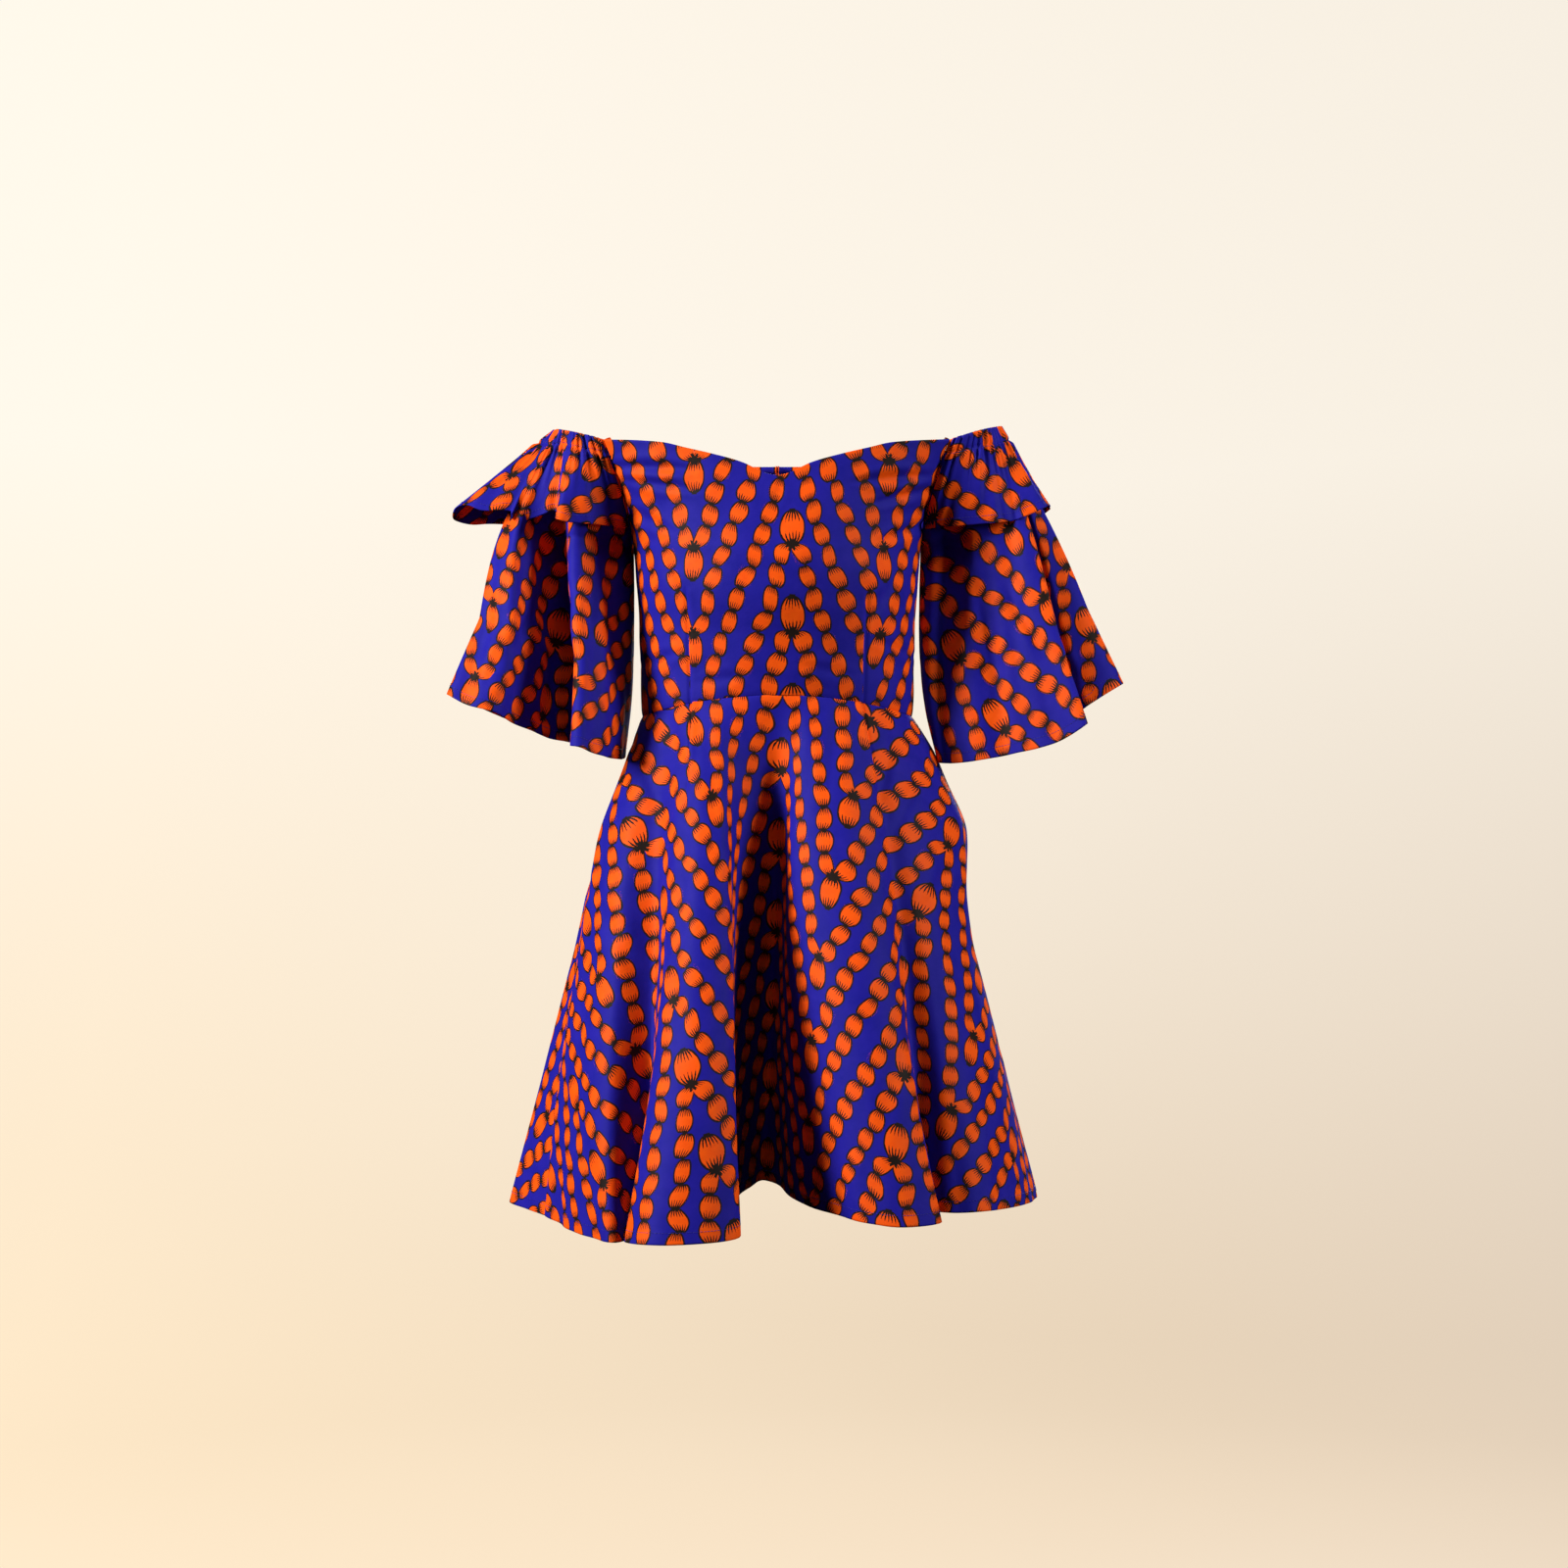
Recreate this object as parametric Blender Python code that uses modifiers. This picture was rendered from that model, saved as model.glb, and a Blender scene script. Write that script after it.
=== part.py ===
"""Off-shoulder wax print dress, worn and empty: bodice, bell sleeves with flounces, part-circle skirt.

Metres, +Z up, the dress faces -Y and the wearer's left is +X. The origin is the centre of the neckline
ring, level with where the upper arms and the bust hold it up.
"""

from collections import namedtuple
import math

import bmesh
import bpy
from mathutils import Vector

# ---------------------------------------------------------------- driving dimensions
CLOTH = 0.0015  # wall of each cloth piece: cloth with its turnings and fold softness
SEAM_GAP = 0.0003  # between the edges of pieces sewn to each other
WAIST_GAP = 0.0008  # between bodice and skirt, whose walls meet at an angle
ARMHOLE_CLEAR = Vector((0.0016, 0.0, 0.0))  # from the bodice's armhole edge to the sleeve's
ZIP_LAYER = 0.0024  # from the middle of the back to the middle of the zip inside it

WAIST_FRONT_Z = -0.252
WAIST_SIDE_Z = -0.270
WAIST_BACK_Z = -0.262
UNDERARM_Z = -0.108
SHOULDER_Z = -0.006  # the neckline where it leaves the bodice for the sleeve

SKIRT_HALF = 100.0  # degrees of flat circle from the centre front to the centre back
SIDE_SEAM = 50.0  # degrees of flat circle from the centre front to a side seam
SKIRT_WAIST_RADIUS = 0.230
SKIRT_LENGTH = 0.520
HIP_SPREAD = 17.0  # degrees of flat circle over which the hips' fullness fades

SLEEVE_OUT = {1: 0.217, -1: 0.216}  # how far out the neckline ring reaches over each arm
SLEEVE_RISE = {1: 0.018, -1: 0.015}  # how much higher it is there than at the bodice
SLEEVE_EASE = 0.40  # part of a sleeve's width over which it turns into the armhole
SLEEVE_BULGE = {1: 0.005, -1: 0.016}  # fullness of a sleeve's outer side below the flounce
FLOUNCE_LIFT = 0.0034  # from the middle of a sleeve's wall to the middle of its flounce's
FLOUNCE_START = 0.045  # part of the sleeve's width that is bare beside each armhole seam

POCKET_MOUTH = (0.15, 0.39)  # along the side seam, as parts of the skirt's length
POCKET_WIDTH = 15.0  # degrees of flat circle
POCKET_DEPTH = 0.58
POCKET_CLOTH = 0.0026  # two layers of pocket bag
POCKET_INSET = 0.0085

ZIP_WIDTH = 0.020
ZIP_TAPE = 0.0012
ZIP_BELOW_WAIST = 0.28  # part of the skirt's length

# ---------------------------------------------------------------- tables
# Bodice sections: the side seam or armhole edge, and how far the front and back stand from the middle.
Section = namedtuple("Section", "z edge_x edge_y front back")
BODICE = [
    Section(-0.270, 0.1320, 0.000, 0.1000, 0.0880),
    Section(-0.200, 0.1340, 0.000, 0.1080, 0.0900),
    Section(-0.150, 0.1370, 0.000, 0.1170, 0.0940),
    Section(-0.108, 0.1400, 0.000, 0.1180, 0.0980),
    Section(-0.096, 0.1405, 0.017, 0.1165, 0.0980),
    Section(-0.080, 0.1420, 0.030, 0.1145, 0.0980),
    Section(-0.055, 0.1480, 0.046, 0.1110, 0.0985),
    Section(-0.028, 0.1570, 0.056, 0.1075, 0.0990),
    Section(-0.006, 0.1660, 0.0605, 0.1050, 0.1000),
]

# The front neckline, a soft V.
Neck = namedtuple("Neck", "x z")
NECKLINE = [
    Neck(0.000, -0.0450),
    Neck(0.012, -0.0420),
    Neck(0.033, -0.0320),
    Neck(0.062, -0.0235),
    Neck(0.088, -0.0170),
    Neck(0.110, -0.0115),
    Neck(0.166, -0.0060),
]
BACK_NECK_DIP = 0.010

# How the skirt's waist edge goes round the waist ring, its tuck included.
Turn = namedtuple("Turn", "flat round")
WAIST_TURN = [
    Turn(0.0, 0.0),
    Turn(12.0, 20.5),
    Turn(22.0, 36.5),
    Turn(24.0, 39.0),
    Turn(50.0, 90.0),
    Turn(75.0, 134.0),
    Turn(100.0, 180.0),
]

# The skirt's folds: where the line at each flat angle passes at half length and at the hem.
Fold = namedtuple("Fold", "flat mid_x mid_y hem_x hem_y hem_z")
# The first and last rows lie past the centre back seam, so that the cloth runs smoothly across it.
FOLDS = [
    Fold(-104.0, 0.036, 0.157, 0.058, 0.222, -0.746),
    Fold(-100.0, 0.000, 0.151, 0.000, 0.214, -0.742),
    Fold(-95.0, -0.040, 0.157, -0.064, 0.223, -0.748),
    Fold(-90.0, -0.066, 0.140, -0.088, 0.172, -0.738),
    Fold(-83.0, -0.108, 0.158, -0.160, 0.212, -0.750),
    Fold(-76.0, -0.136, 0.112, -0.172, 0.132, -0.738),
    Fold(-69.0, -0.172, 0.110, -0.236, 0.158, -0.752),
    Fold(-63.0, -0.180, 0.060, -0.222, 0.078, -0.744),
    Fold(-57.0, -0.198, 0.012, -0.262, 0.014, -0.746),
    Fold(-50.0, -0.191, -0.036, -0.223, -0.060, -0.750),
    Fold(-42.0, -0.179, -0.086, -0.189, -0.128, -0.756),
    Fold(-36.0, -0.152, -0.125, -0.150, -0.175, -0.759),
    Fold(-31.0, -0.112, -0.122, -0.125, -0.130, -0.757),
    Fold(-25.0, -0.103, -0.166, -0.139, -0.205, -0.754),
    Fold(-20.0, -0.079, -0.186, -0.095, -0.245, -0.751),
    Fold(-15.5, -0.046, -0.179, -0.037, -0.225, -0.748),
    Fold(-11.0, -0.043, -0.138, -0.045, -0.165, -0.740),
    Fold(-5.5, -0.030, -0.098, -0.036, -0.095, -0.728),
    Fold(0.0, -0.002, -0.072, -0.012, -0.045, -0.718),
    Fold(7.5, 0.018, -0.132, 0.029, -0.140, -0.730),
    Fold(11.0, 0.040, -0.158, 0.066, -0.185, -0.735),
    Fold(15.5, 0.073, -0.170, 0.1075, -0.215, -0.739),
    Fold(19.5, 0.103, -0.160, 0.149, -0.195, -0.738),
    Fold(24.0, 0.116, -0.128, 0.135, -0.140, -0.734),
    Fold(29.0, 0.142, -0.126, 0.165, -0.165, -0.733),
    Fold(36.0, 0.172, -0.098, 0.210, -0.140, -0.733),
    Fold(43.0, 0.190, -0.048, 0.245, -0.070, -0.735),
    Fold(50.0, 0.191, 0.002, 0.2505, 0.000, -0.736),
    Fold(57.0, 0.195, 0.048, 0.2535, 0.074, -0.742),
    Fold(63.0, 0.182, 0.074, 0.214, 0.100, -0.734),
    Fold(70.0, 0.172, 0.120, 0.234, 0.170, -0.746),
    Fold(77.0, 0.134, 0.114, 0.174, 0.142, -0.735),
    Fold(84.0, 0.112, 0.162, 0.163, 0.214, -0.748),
    Fold(91.0, 0.068, 0.138, 0.092, 0.176, -0.738),
    Fold(96.0, 0.036, 0.157, 0.058, 0.222, -0.746),
    Fold(100.0, 0.000, 0.151, 0.000, 0.214, -0.742),
    Fold(105.0, -0.040, 0.157, -0.064, 0.223, -0.748),
]

# Extra fullness at each side seam: the hip, and on the wearer's left the gaping pocket.
Hip = namedtuple("Hip", "down right left")
HIPS = [
    Hip(0.00, 0.000, 0.000),
    Hip(0.07, 0.002, 0.012),
    Hip(0.14, 0.005, 0.018),
    Hip(0.23, 0.009, 0.025),
    Hip(0.31, 0.007, 0.016),
    Hip(0.39, 0.005, 0.006),
    Hip(0.50, 0.002, 0.000),
    Hip(1.00, 0.000, 0.000),
]

# Each sleeve's underarm seam below the armhole: it stays clear of the bodice and of the skirt.
Seam = namedtuple("Seam", "z x")
UNDERARM_SEAM = {
    1: [Seam(-0.108, 0.1400), Seam(-0.150, 0.1388), Seam(-0.200, 0.1390), Seam(-0.260, 0.1450),
        Seam(-0.312, 0.1600)],
    -1: [Seam(-0.108, 0.1400), Seam(-0.150, 0.1395), Seam(-0.200, 0.1400), Seam(-0.260, 0.1430),
         Seam(-0.310, 0.1490)],
}
SLEEVE_END_Z = {1: -0.312, -1: -0.310}

# Each sleeve's hem from the underarm seam (turn 0) round the front and the outside (0.5) and back.
Hem = namedtuple("Hem", "turn x y z")
SLEEVE_HEM = {
    1: [
        Hem(0.00, 0.1600, 0.000, -0.312),
        Hem(0.07, 0.1560, -0.032, -0.316),
        Hem(0.15, 0.1860, -0.048, -0.314),
        Hem(0.23, 0.2260, -0.057, -0.307),
        Hem(0.31, 0.2650, -0.078, -0.297),
        Hem(0.37, 0.2935, -0.096, -0.279),
        Hem(0.43, 0.2790, -0.048, -0.277),
        Hem(0.49, 0.3005, -0.064, -0.259),
        Hem(0.55, 0.3352, -0.046, -0.238),
        Hem(0.63, 0.3100, 0.028, -0.253),
        Hem(0.70, 0.2660, 0.070, -0.280),
        Hem(0.78, 0.2420, 0.108, -0.288),
        Hem(0.86, 0.1980, 0.098, -0.302),
        Hem(0.94, 0.1620, 0.050, -0.312),
        Hem(1.00, 0.1600, 0.000, -0.312),
    ],
    -1: [
        Hem(0.00, 0.1490, 0.000, -0.310),
        Hem(0.06, 0.1500, -0.040, -0.312),
        Hem(0.13, 0.1640, -0.086, -0.309),
        Hem(0.19, 0.1890, -0.100, -0.301),
        Hem(0.25, 0.1985, -0.054, -0.298),
        Hem(0.32, 0.2140, -0.022, -0.293),
        Hem(0.38, 0.2460, -0.062, -0.280),
        Hem(0.43, 0.2700, -0.090, -0.268),
        Hem(0.49, 0.2926, -0.088, -0.261),
        Hem(0.56, 0.3157, -0.064, -0.250),
        Hem(0.64, 0.2920, 0.014, -0.261),
        Hem(0.71, 0.2500, 0.074, -0.280),
        Hem(0.79, 0.2240, 0.112, -0.290),
        Hem(0.87, 0.1800, 0.098, -0.302),
        Hem(0.94, 0.1530, 0.048, -0.309),
        Hem(1.00, 0.1490, 0.000, -0.310),
    ],
}

# Each flounce round the sleeve: how far down the sleeve it reaches, and how far it stands off it.
Frill = namedtuple("Frill", "turn down off")
FLOUNCES = {
    1: [
        Frill(0.00, 0.270, 0.001),
        Frill(0.10, 0.275, 0.002),
        Frill(0.20, 0.285, 0.013),
        Frill(0.30, 0.290, 0.010),
        Frill(0.40, 0.270, 0.022),
        Frill(0.46, 0.275, 0.020),
        Frill(0.51, 0.290, 0.004),
        Frill(0.57, 0.300, 0.010),
        Frill(0.67, 0.300, 0.020),
        Frill(0.77, 0.290, 0.006),
        Frill(0.88, 0.280, 0.014),
        Frill(1.00, 0.270, 0.001),
    ],
    -1: [
        Frill(0.00, 0.270, 0.001),
        Frill(0.10, 0.275, 0.003),
        Frill(0.19, 0.285, 0.024),
        Frill(0.27, 0.255, 0.006),
        Frill(0.34, 0.300, 0.026),
        Frill(0.41, 0.285, 0.014),
        Frill(0.46, 0.290, 0.036),
        Frill(0.51, 0.270, 0.052),
        Frill(0.57, 0.335, 0.050),
        Frill(0.64, 0.320, 0.026),
        Frill(0.73, 0.290, 0.010),
        Frill(0.85, 0.280, 0.020),
        Frill(1.00, 0.270, 0.001),
    ],
}

# ---------------------------------------------------------------- how finely each piece is divided
BODICE_ROWS = [-0.270, -0.235, -0.200, -0.165, -0.132, -0.108, -0.096, -0.080, -0.055, -0.028, -0.006]
SLEEVE_ROWS = [-0.006, -0.028, -0.055, -0.080, -0.096, -0.108, -0.150, -0.200, -0.255]
SKIRT_ROWS = [0.0, 0.06, 0.13, 0.21, 0.30, 0.39, 0.51, 0.63, 0.76, 0.88, 1.0]
FLOUNCE_ROWS = [0.0, 0.28, 0.64, 1.0]
POCKET_ROWS = [0.0, 0.12, 0.25, 0.38, 0.5, 0.62, 0.75, 0.88, 1.0]
FRONT_COLUMNS = 20
BACK_COLUMNS = 10
SKIRT_FRONT_COLUMNS = 48
SKIRT_BACK_COLUMNS = 24
SLEEVE_COLUMNS = 30
FLOUNCE_COLUMNS = 26
POCKET_COLUMNS = 8
ZIP_BODICE_ROWS = 10
ZIP_SKIRT_ROWS = 5

PRINT_BLUE = (0.026, 0.020, 0.330, 1.0)
PRINT_ORANGE = (0.900, 0.150, 0.010, 1.0)
POCKET_BLUE = (0.015, 0.012, 0.200, 1.0)
ZIP_BLUE = (0.012, 0.010, 0.120, 1.0)


# ---------------------------------------------------------------- curves through the tables
def smooth(rows, key, column, at):
    """The column's value where the key column is `at`, on a smooth curve through the rows."""
    keys = [getattr(row, key) for row in rows]
    values = [getattr(row, column) for row in rows]
    if keys[0] > keys[-1]:
        keys.reverse()
        values.reverse()
    at = min(max(at, keys[0]), keys[-1])
    i = min(max(sum(k <= at for k in keys) - 1, 0), len(keys) - 2)
    slopes = []
    for j in (i, i + 1):
        before, after = max(j - 1, 0), min(j + 1, len(keys) - 1)
        slopes.append((values[after] - values[before]) / (keys[after] - keys[before]))
    span = keys[i + 1] - keys[i]
    s = (at - keys[i]) / span
    return (
        values[i] * (1 + 2 * s) * (1 - s) ** 2
        + slopes[0] * span * s * (1 - s) ** 2
        + values[i + 1] * s * s * (3 - 2 * s)
        - slopes[1] * span * s * s * (1 - s)
    )


def mix(first, second, part):
    return first + (second - first) * part


# ---------------------------------------------------------------- the shape of each piece
def waist_z(angle):
    """The height of the waist seam at an angle round the body from the centre front, in degrees."""
    turned = math.radians(angle)
    middle = WAIST_FRONT_Z if abs(angle) < 90 else WAIST_BACK_Z
    return mix(WAIST_SIDE_Z, middle, math.cos(turned) ** 2)


def waist_point(angle):
    """A point of the waist ring."""
    waist = BODICE[0]
    turned = math.radians(angle)
    depth = waist.front if abs(angle) < 90 else waist.back
    return Vector((waist.edge_x * math.sin(turned), -depth * math.cos(turned), waist_z(angle)))


def bodice_point(edge_z, across, back, trim=0.0):
    """A point of the bodice: across runs from -1 to 1, one armhole or side seam to the other."""
    edge_x = smooth(BODICE, "z", "edge_x", edge_z)
    edge_y = smooth(BODICE, "z", "edge_y", edge_z)
    if edge_z <= UNDERARM_Z:
        edge_y = 0.0
    depth = smooth(BODICE, "z", "back" if back else "front", edge_z)
    widest = edge_x / math.sqrt(1 - (edge_y / depth) ** 2)
    edge_angle = math.acos(edge_y / depth) - trim / depth
    angle = across * edge_angle
    x = widest * math.sin(angle)
    if back:
        top = SHOULDER_Z - BACK_NECK_DIP * math.cos(angle) ** 2
    else:
        top = smooth(NECKLINE, "x", "z", abs(x))
    round_body = math.degrees(angle)
    bottom = waist_z(180 - round_body if back else round_body) + WAIST_GAP / 2
    up = (edge_z - WAIST_SIDE_Z) / (SHOULDER_Z - WAIST_SIDE_Z)
    y = depth * math.cos(angle)
    return Vector((x, y if back else -y, mix(bottom, top, up)))


def skirt_point(flat, down):
    """A point of the skirt: flat is the cut's angle from the centre front, down from waist 0 to hem 1."""
    turn = smooth(WAIST_TURN, "flat", "round", abs(flat))
    waist = waist_point(math.copysign(turn, flat)) - Vector((0, 0, WAIST_GAP / 2))
    place = {key: smooth(FOLDS, "flat", key, flat) for key in Fold._fields[1:]}
    hem = Vector((place["hem_x"], place["hem_y"], place["hem_z"]))
    middle = Vector((place["mid_x"], place["mid_y"], (waist.z + hem.z) / 2))
    point = (
        waist * (1 - down) * (1 - 2 * down) + middle * 4 * down * (1 - down) + hem * down * (2 * down - 1)
    )
    fullness = smooth(HIPS, "down", "left" if flat > 0 else "right", down)
    fade = math.exp(-(((abs(flat) - SIDE_SEAM) / HIP_SPREAD) ** 2))
    point.x += math.copysign(fullness * fade, flat)
    return point


def sleeve_edge(side, z, back):
    """A point of the sleeve's edge: the armhole seam, then the underarm seam."""
    if z >= UNDERARM_Z:
        x = smooth(BODICE, "z", "edge_x", z)
        y = smooth(BODICE, "z", "edge_y", z) if z > UNDERARM_Z else 0.0
    else:
        x, y = smooth(UNDERARM_SEAM[side], "z", "x", z), 0.0
    return Vector((x, y if back else -y, z)) + ARMHOLE_CLEAR


def sleeve_point(side, turn, down):
    """A point of a sleeve on the +X side: turn goes round it from the underarm seam by the front."""
    end_z = SLEEVE_END_Z[side]
    neck = BODICE[-1]
    round_arm = math.pi * turn
    top = Vector((
        neck.edge_x + (SLEEVE_OUT[side] - neck.edge_x) * math.sin(round_arm),
        -neck.edge_y * math.cos(round_arm),
        SHOULDER_Z + SLEEVE_RISE[side] * math.sin(round_arm),
    ))
    hem = Vector([smooth(SLEEVE_HEM[side], "turn", key, turn) for key in "xyz"])
    point = mix(top, hem, down)
    point.x += SLEEVE_BULGE[side] * math.sin(round_arm) * math.sin(math.pi * min(down * 1.4, 1.0))
    edge_turn = 0.0 if turn < 0.5 else 1.0
    corner_top = Vector((neck.edge_x, math.copysign(neck.edge_y, edge_turn - 0.5), SHOULDER_Z))
    corner_hem = Vector([smooth(SLEEVE_HEM[side], "turn", key, edge_turn) for key in "xyz"])
    edge = sleeve_edge(side, mix(SHOULDER_Z, end_z, down), edge_turn == 1.0)
    ease = max(1 - abs(turn - edge_turn) / SLEEVE_EASE, 0.0) ** 1.3
    return point + (edge - mix(corner_top, corner_hem, down)) * ease


def flounce_point(side, turn, down):
    """A point of a flounce on the +X side: the sleeve's own surface, moved out."""
    turn = mix(FLOUNCE_START, 1 - FLOUNCE_START, turn)
    reach = smooth(FLOUNCES[side], "turn", "down", turn) * down
    round_arm = math.pi * turn
    out = Vector((math.sin(round_arm), -math.cos(round_arm), 0.0))
    off = smooth(FLOUNCES[side], "turn", "off", turn) * down
    return sleeve_point(side, turn, reach) + out * (FLOUNCE_LIFT + off)


def pocket_point(side, across, down):
    """A point of a pocket bag: the skirt front's surface, moved in, from the side seam's mouth."""
    mouth_top, mouth_end = POCKET_MOUTH
    flat = side * (SIDE_SEAM - 1.0 - across * POCKET_WIDTH)
    end = mix(mouth_end, POCKET_DEPTH, math.sin(math.pi * min(0.15 + across * 0.75, 1.0)) ** 0.5)
    place = mix(mouth_top - 0.06 * across, end, down)
    step = 0.5
    along = skirt_point(flat + step, place) - skirt_point(flat - step, place)
    inward = Vector((-along.y, along.x, 0.0)).normalized()
    return skirt_point(flat, place) + inward * POCKET_INSET


def zip_point(across, down):
    """A point of the zip, moved in from the centre back: down is -1 at the neck, 0 at the waist, 1 below."""
    if down <= 0:
        place = bodice_point(mix(WAIST_SIDE_Z, SHOULDER_Z, -0.99 * down), 0.0, True)
    else:
        place = skirt_point(SKIRT_HALF, ZIP_BELOW_WAIST * down)
    return Vector((across * ZIP_WIDTH / 2, place.y - ZIP_LAYER, place.z))


# ---------------------------------------------------------------- making the pieces
def clear_scene():
    for obj in list(bpy.data.objects):
        bpy.data.objects.remove(obj, do_unlink=True)


def cloth_material(name, colour, roughness):
    material = bpy.data.materials.new(name)
    material.use_nodes = True
    shader = material.node_tree.nodes["Principled BSDF"]
    shader.inputs["Base Color"].default_value = colour
    shader.inputs["Roughness"].default_value = roughness
    shader.inputs["Metallic"].default_value = 0.0
    return material


def sheet(collection, name, columns, rows, point, material, wall=CLOTH, weld=False):
    """One piece of cloth: a grid whose points go where point(column part, row) says, made solid."""
    bm = bmesh.new()
    bmesh.ops.create_grid(bm, x_segments=columns, y_segments=len(rows) - 1, size=0.5)
    for vertex in bm.verts:
        row = rows[round((vertex.co.y + 0.5) * (len(rows) - 1))]
        vertex.co = point(vertex.co.x + 0.5, row)
    if weld:
        bmesh.ops.remove_doubles(bm, verts=bm.verts, dist=0.00001)
    mesh = bpy.data.meshes.new(name)
    bm.to_mesh(mesh)
    bm.free()
    mesh.shade_smooth()
    mesh.materials.append(material)
    piece = bpy.data.objects.new(name, mesh)
    collection.objects.link(piece)
    solid = piece.modifiers.new("Cloth", "SOLIDIFY")
    solid.thickness = wall
    solid.offset = 0.0
    return piece


def make_bodice(collection, material):
    half_gap = SEAM_GAP / 2
    sheet(
        collection, "bodice_front", FRONT_COLUMNS, BODICE_ROWS,
        lambda part, z: bodice_point(z, 2 * part - 1, False, half_gap), material,
    )
    for name, side in (("bodice_back_left", 1), ("bodice_back_right", -1)):
        def back_point(part, z, side=side):
            point = bodice_point(z, part, True, half_gap)
            point.x = side * (point.x + half_gap * (1 - part))
            return point

        sheet(collection, name, BACK_COLUMNS, BODICE_ROWS, back_point, material)


def make_skirt(collection, material):
    panels = (
        ("skirt_front", -SIDE_SEAM, SIDE_SEAM, SKIRT_FRONT_COLUMNS),
        ("skirt_back_left", SIDE_SEAM, SKIRT_HALF, SKIRT_BACK_COLUMNS),
        ("skirt_back_right", -SKIRT_HALF, -SIDE_SEAM, SKIRT_BACK_COLUMNS),
    )
    for name, start, end, columns in panels:
        def panel_point(part, down, start=start, end=end):
            radius = SKIRT_WAIST_RADIUS + down * SKIRT_LENGTH
            trim = math.degrees(SEAM_GAP / 2 / radius)
            return skirt_point(mix(start + trim, end - trim, part), down)

        sheet(collection, name, columns, SKIRT_ROWS, panel_point, material)


def on_side(side, point):
    """A point made for the +X side, on the side asked for."""
    return Vector((side * point.x, point.y, point.z))


def make_sleeves(collection, material):
    for name, side in (("left", 1), ("right", -1)):
        end_z = SLEEVE_END_Z[side]

        def place(part, z, side=side, end_z=end_z):
            down = (SHOULDER_Z - z) / (SHOULDER_Z - end_z)
            return on_side(side, sleeve_point(side, part, down))

        def frill(part, down, side=side):
            return on_side(side, flounce_point(side, part, down))

        sheet(
            collection, "sleeve_" + name, SLEEVE_COLUMNS, SLEEVE_ROWS + [end_z], place, material, weld=True
        )
        sheet(collection, "flounce_" + name, FLOUNCE_COLUMNS, FLOUNCE_ROWS, frill, material)


def make_pockets(collection, material):
    for name, side in (("pocket_left", 1), ("pocket_right", -1)):
        sheet(
            collection, name, POCKET_COLUMNS, POCKET_ROWS,
            lambda part, down, side=side: pocket_point(side, part, down), material, wall=POCKET_CLOTH,
        )


def make_zip(collection, material):
    rows = [row / ZIP_BODICE_ROWS - 1 for row in range(ZIP_BODICE_ROWS)]
    rows += [row / ZIP_SKIRT_ROWS for row in range(ZIP_SKIRT_ROWS + 1)]
    sheet(
        collection, "back_zip", 2, rows,
        lambda part, down: zip_point(2 * part - 1, down), material, wall=ZIP_TAPE,
    )


def main():
    clear_scene()
    collection = bpy.data.collections.new("ankara_dress")
    bpy.context.scene.collection.children.link(collection)
    body_cloth = cloth_material("wax print, blue ground", PRINT_BLUE, 0.6)
    frill_cloth = cloth_material("wax print, orange beads", PRINT_ORANGE, 0.6)
    make_bodice(collection, body_cloth)
    make_skirt(collection, body_cloth)
    make_sleeves(collection, frill_cloth)
    make_pockets(collection, cloth_material("pocket cloth", POCKET_BLUE, 0.7))
    make_zip(collection, cloth_material("zip tape", ZIP_BLUE, 0.5))


main()
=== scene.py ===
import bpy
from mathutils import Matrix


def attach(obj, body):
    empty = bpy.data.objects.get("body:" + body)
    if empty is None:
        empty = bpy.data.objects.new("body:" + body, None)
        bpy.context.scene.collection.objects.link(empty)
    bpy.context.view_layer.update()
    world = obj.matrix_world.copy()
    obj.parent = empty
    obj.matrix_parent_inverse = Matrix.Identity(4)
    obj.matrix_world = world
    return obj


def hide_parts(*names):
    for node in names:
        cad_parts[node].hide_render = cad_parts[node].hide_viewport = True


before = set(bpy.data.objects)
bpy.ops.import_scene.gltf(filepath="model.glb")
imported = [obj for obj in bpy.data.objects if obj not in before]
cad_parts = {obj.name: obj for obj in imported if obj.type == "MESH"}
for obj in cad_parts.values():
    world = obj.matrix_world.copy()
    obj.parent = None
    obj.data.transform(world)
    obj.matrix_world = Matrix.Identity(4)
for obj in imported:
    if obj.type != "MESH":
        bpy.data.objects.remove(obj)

"""The visual model of the off-shoulder wax print dress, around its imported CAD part.

Each piece of cloth is a thin shell on the form of its CAD solid, cut finely enough to carry gathers,
creases, turned seams and hems. Metres, +Z up, the dress faces -Y and the wearer's left is +X.
"""

from collections import namedtuple
import math

import bpy
import numpy as np

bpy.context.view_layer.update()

# ---------------------------------------------------------------- the dress, as the CAD part has it
WAIST_FRONT_Z = -0.252
WAIST_SIDE_Z = -0.270
WAIST_BACK_Z = -0.262
UNDERARM_Z = -0.108
SHOULDER_Z = -0.006

SKIRT_HALF = 100.0  # degrees of flat circle from the centre front to the centre back
SIDE_SEAM = 50.0
SKIRT_WAIST_RADIUS = 0.230
SKIRT_LENGTH = 0.520
HIP_SPREAD = 17.0

SLEEVE_OUT = {1: 0.217, -1: 0.216}
SLEEVE_RISE = {1: 0.018, -1: 0.015}
SLEEVE_EASE = 0.40
SLEEVE_BULGE = {1: 0.005, -1: 0.016}
SLEEVE_END_Z = {1: -0.312, -1: -0.310}

POCKET_MOUTH = (0.15, 0.39)
POCKET_WIDTH = 15.0
POCKET_DEPTH = 0.58
POCKET_INSET = 0.0085

ZIP_LAYER = 0.0024
ZIP_BELOW_WAIST = 0.28
ZIP_TOP = -0.955  # from the waist up to the neck edge, as a part of that way

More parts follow.
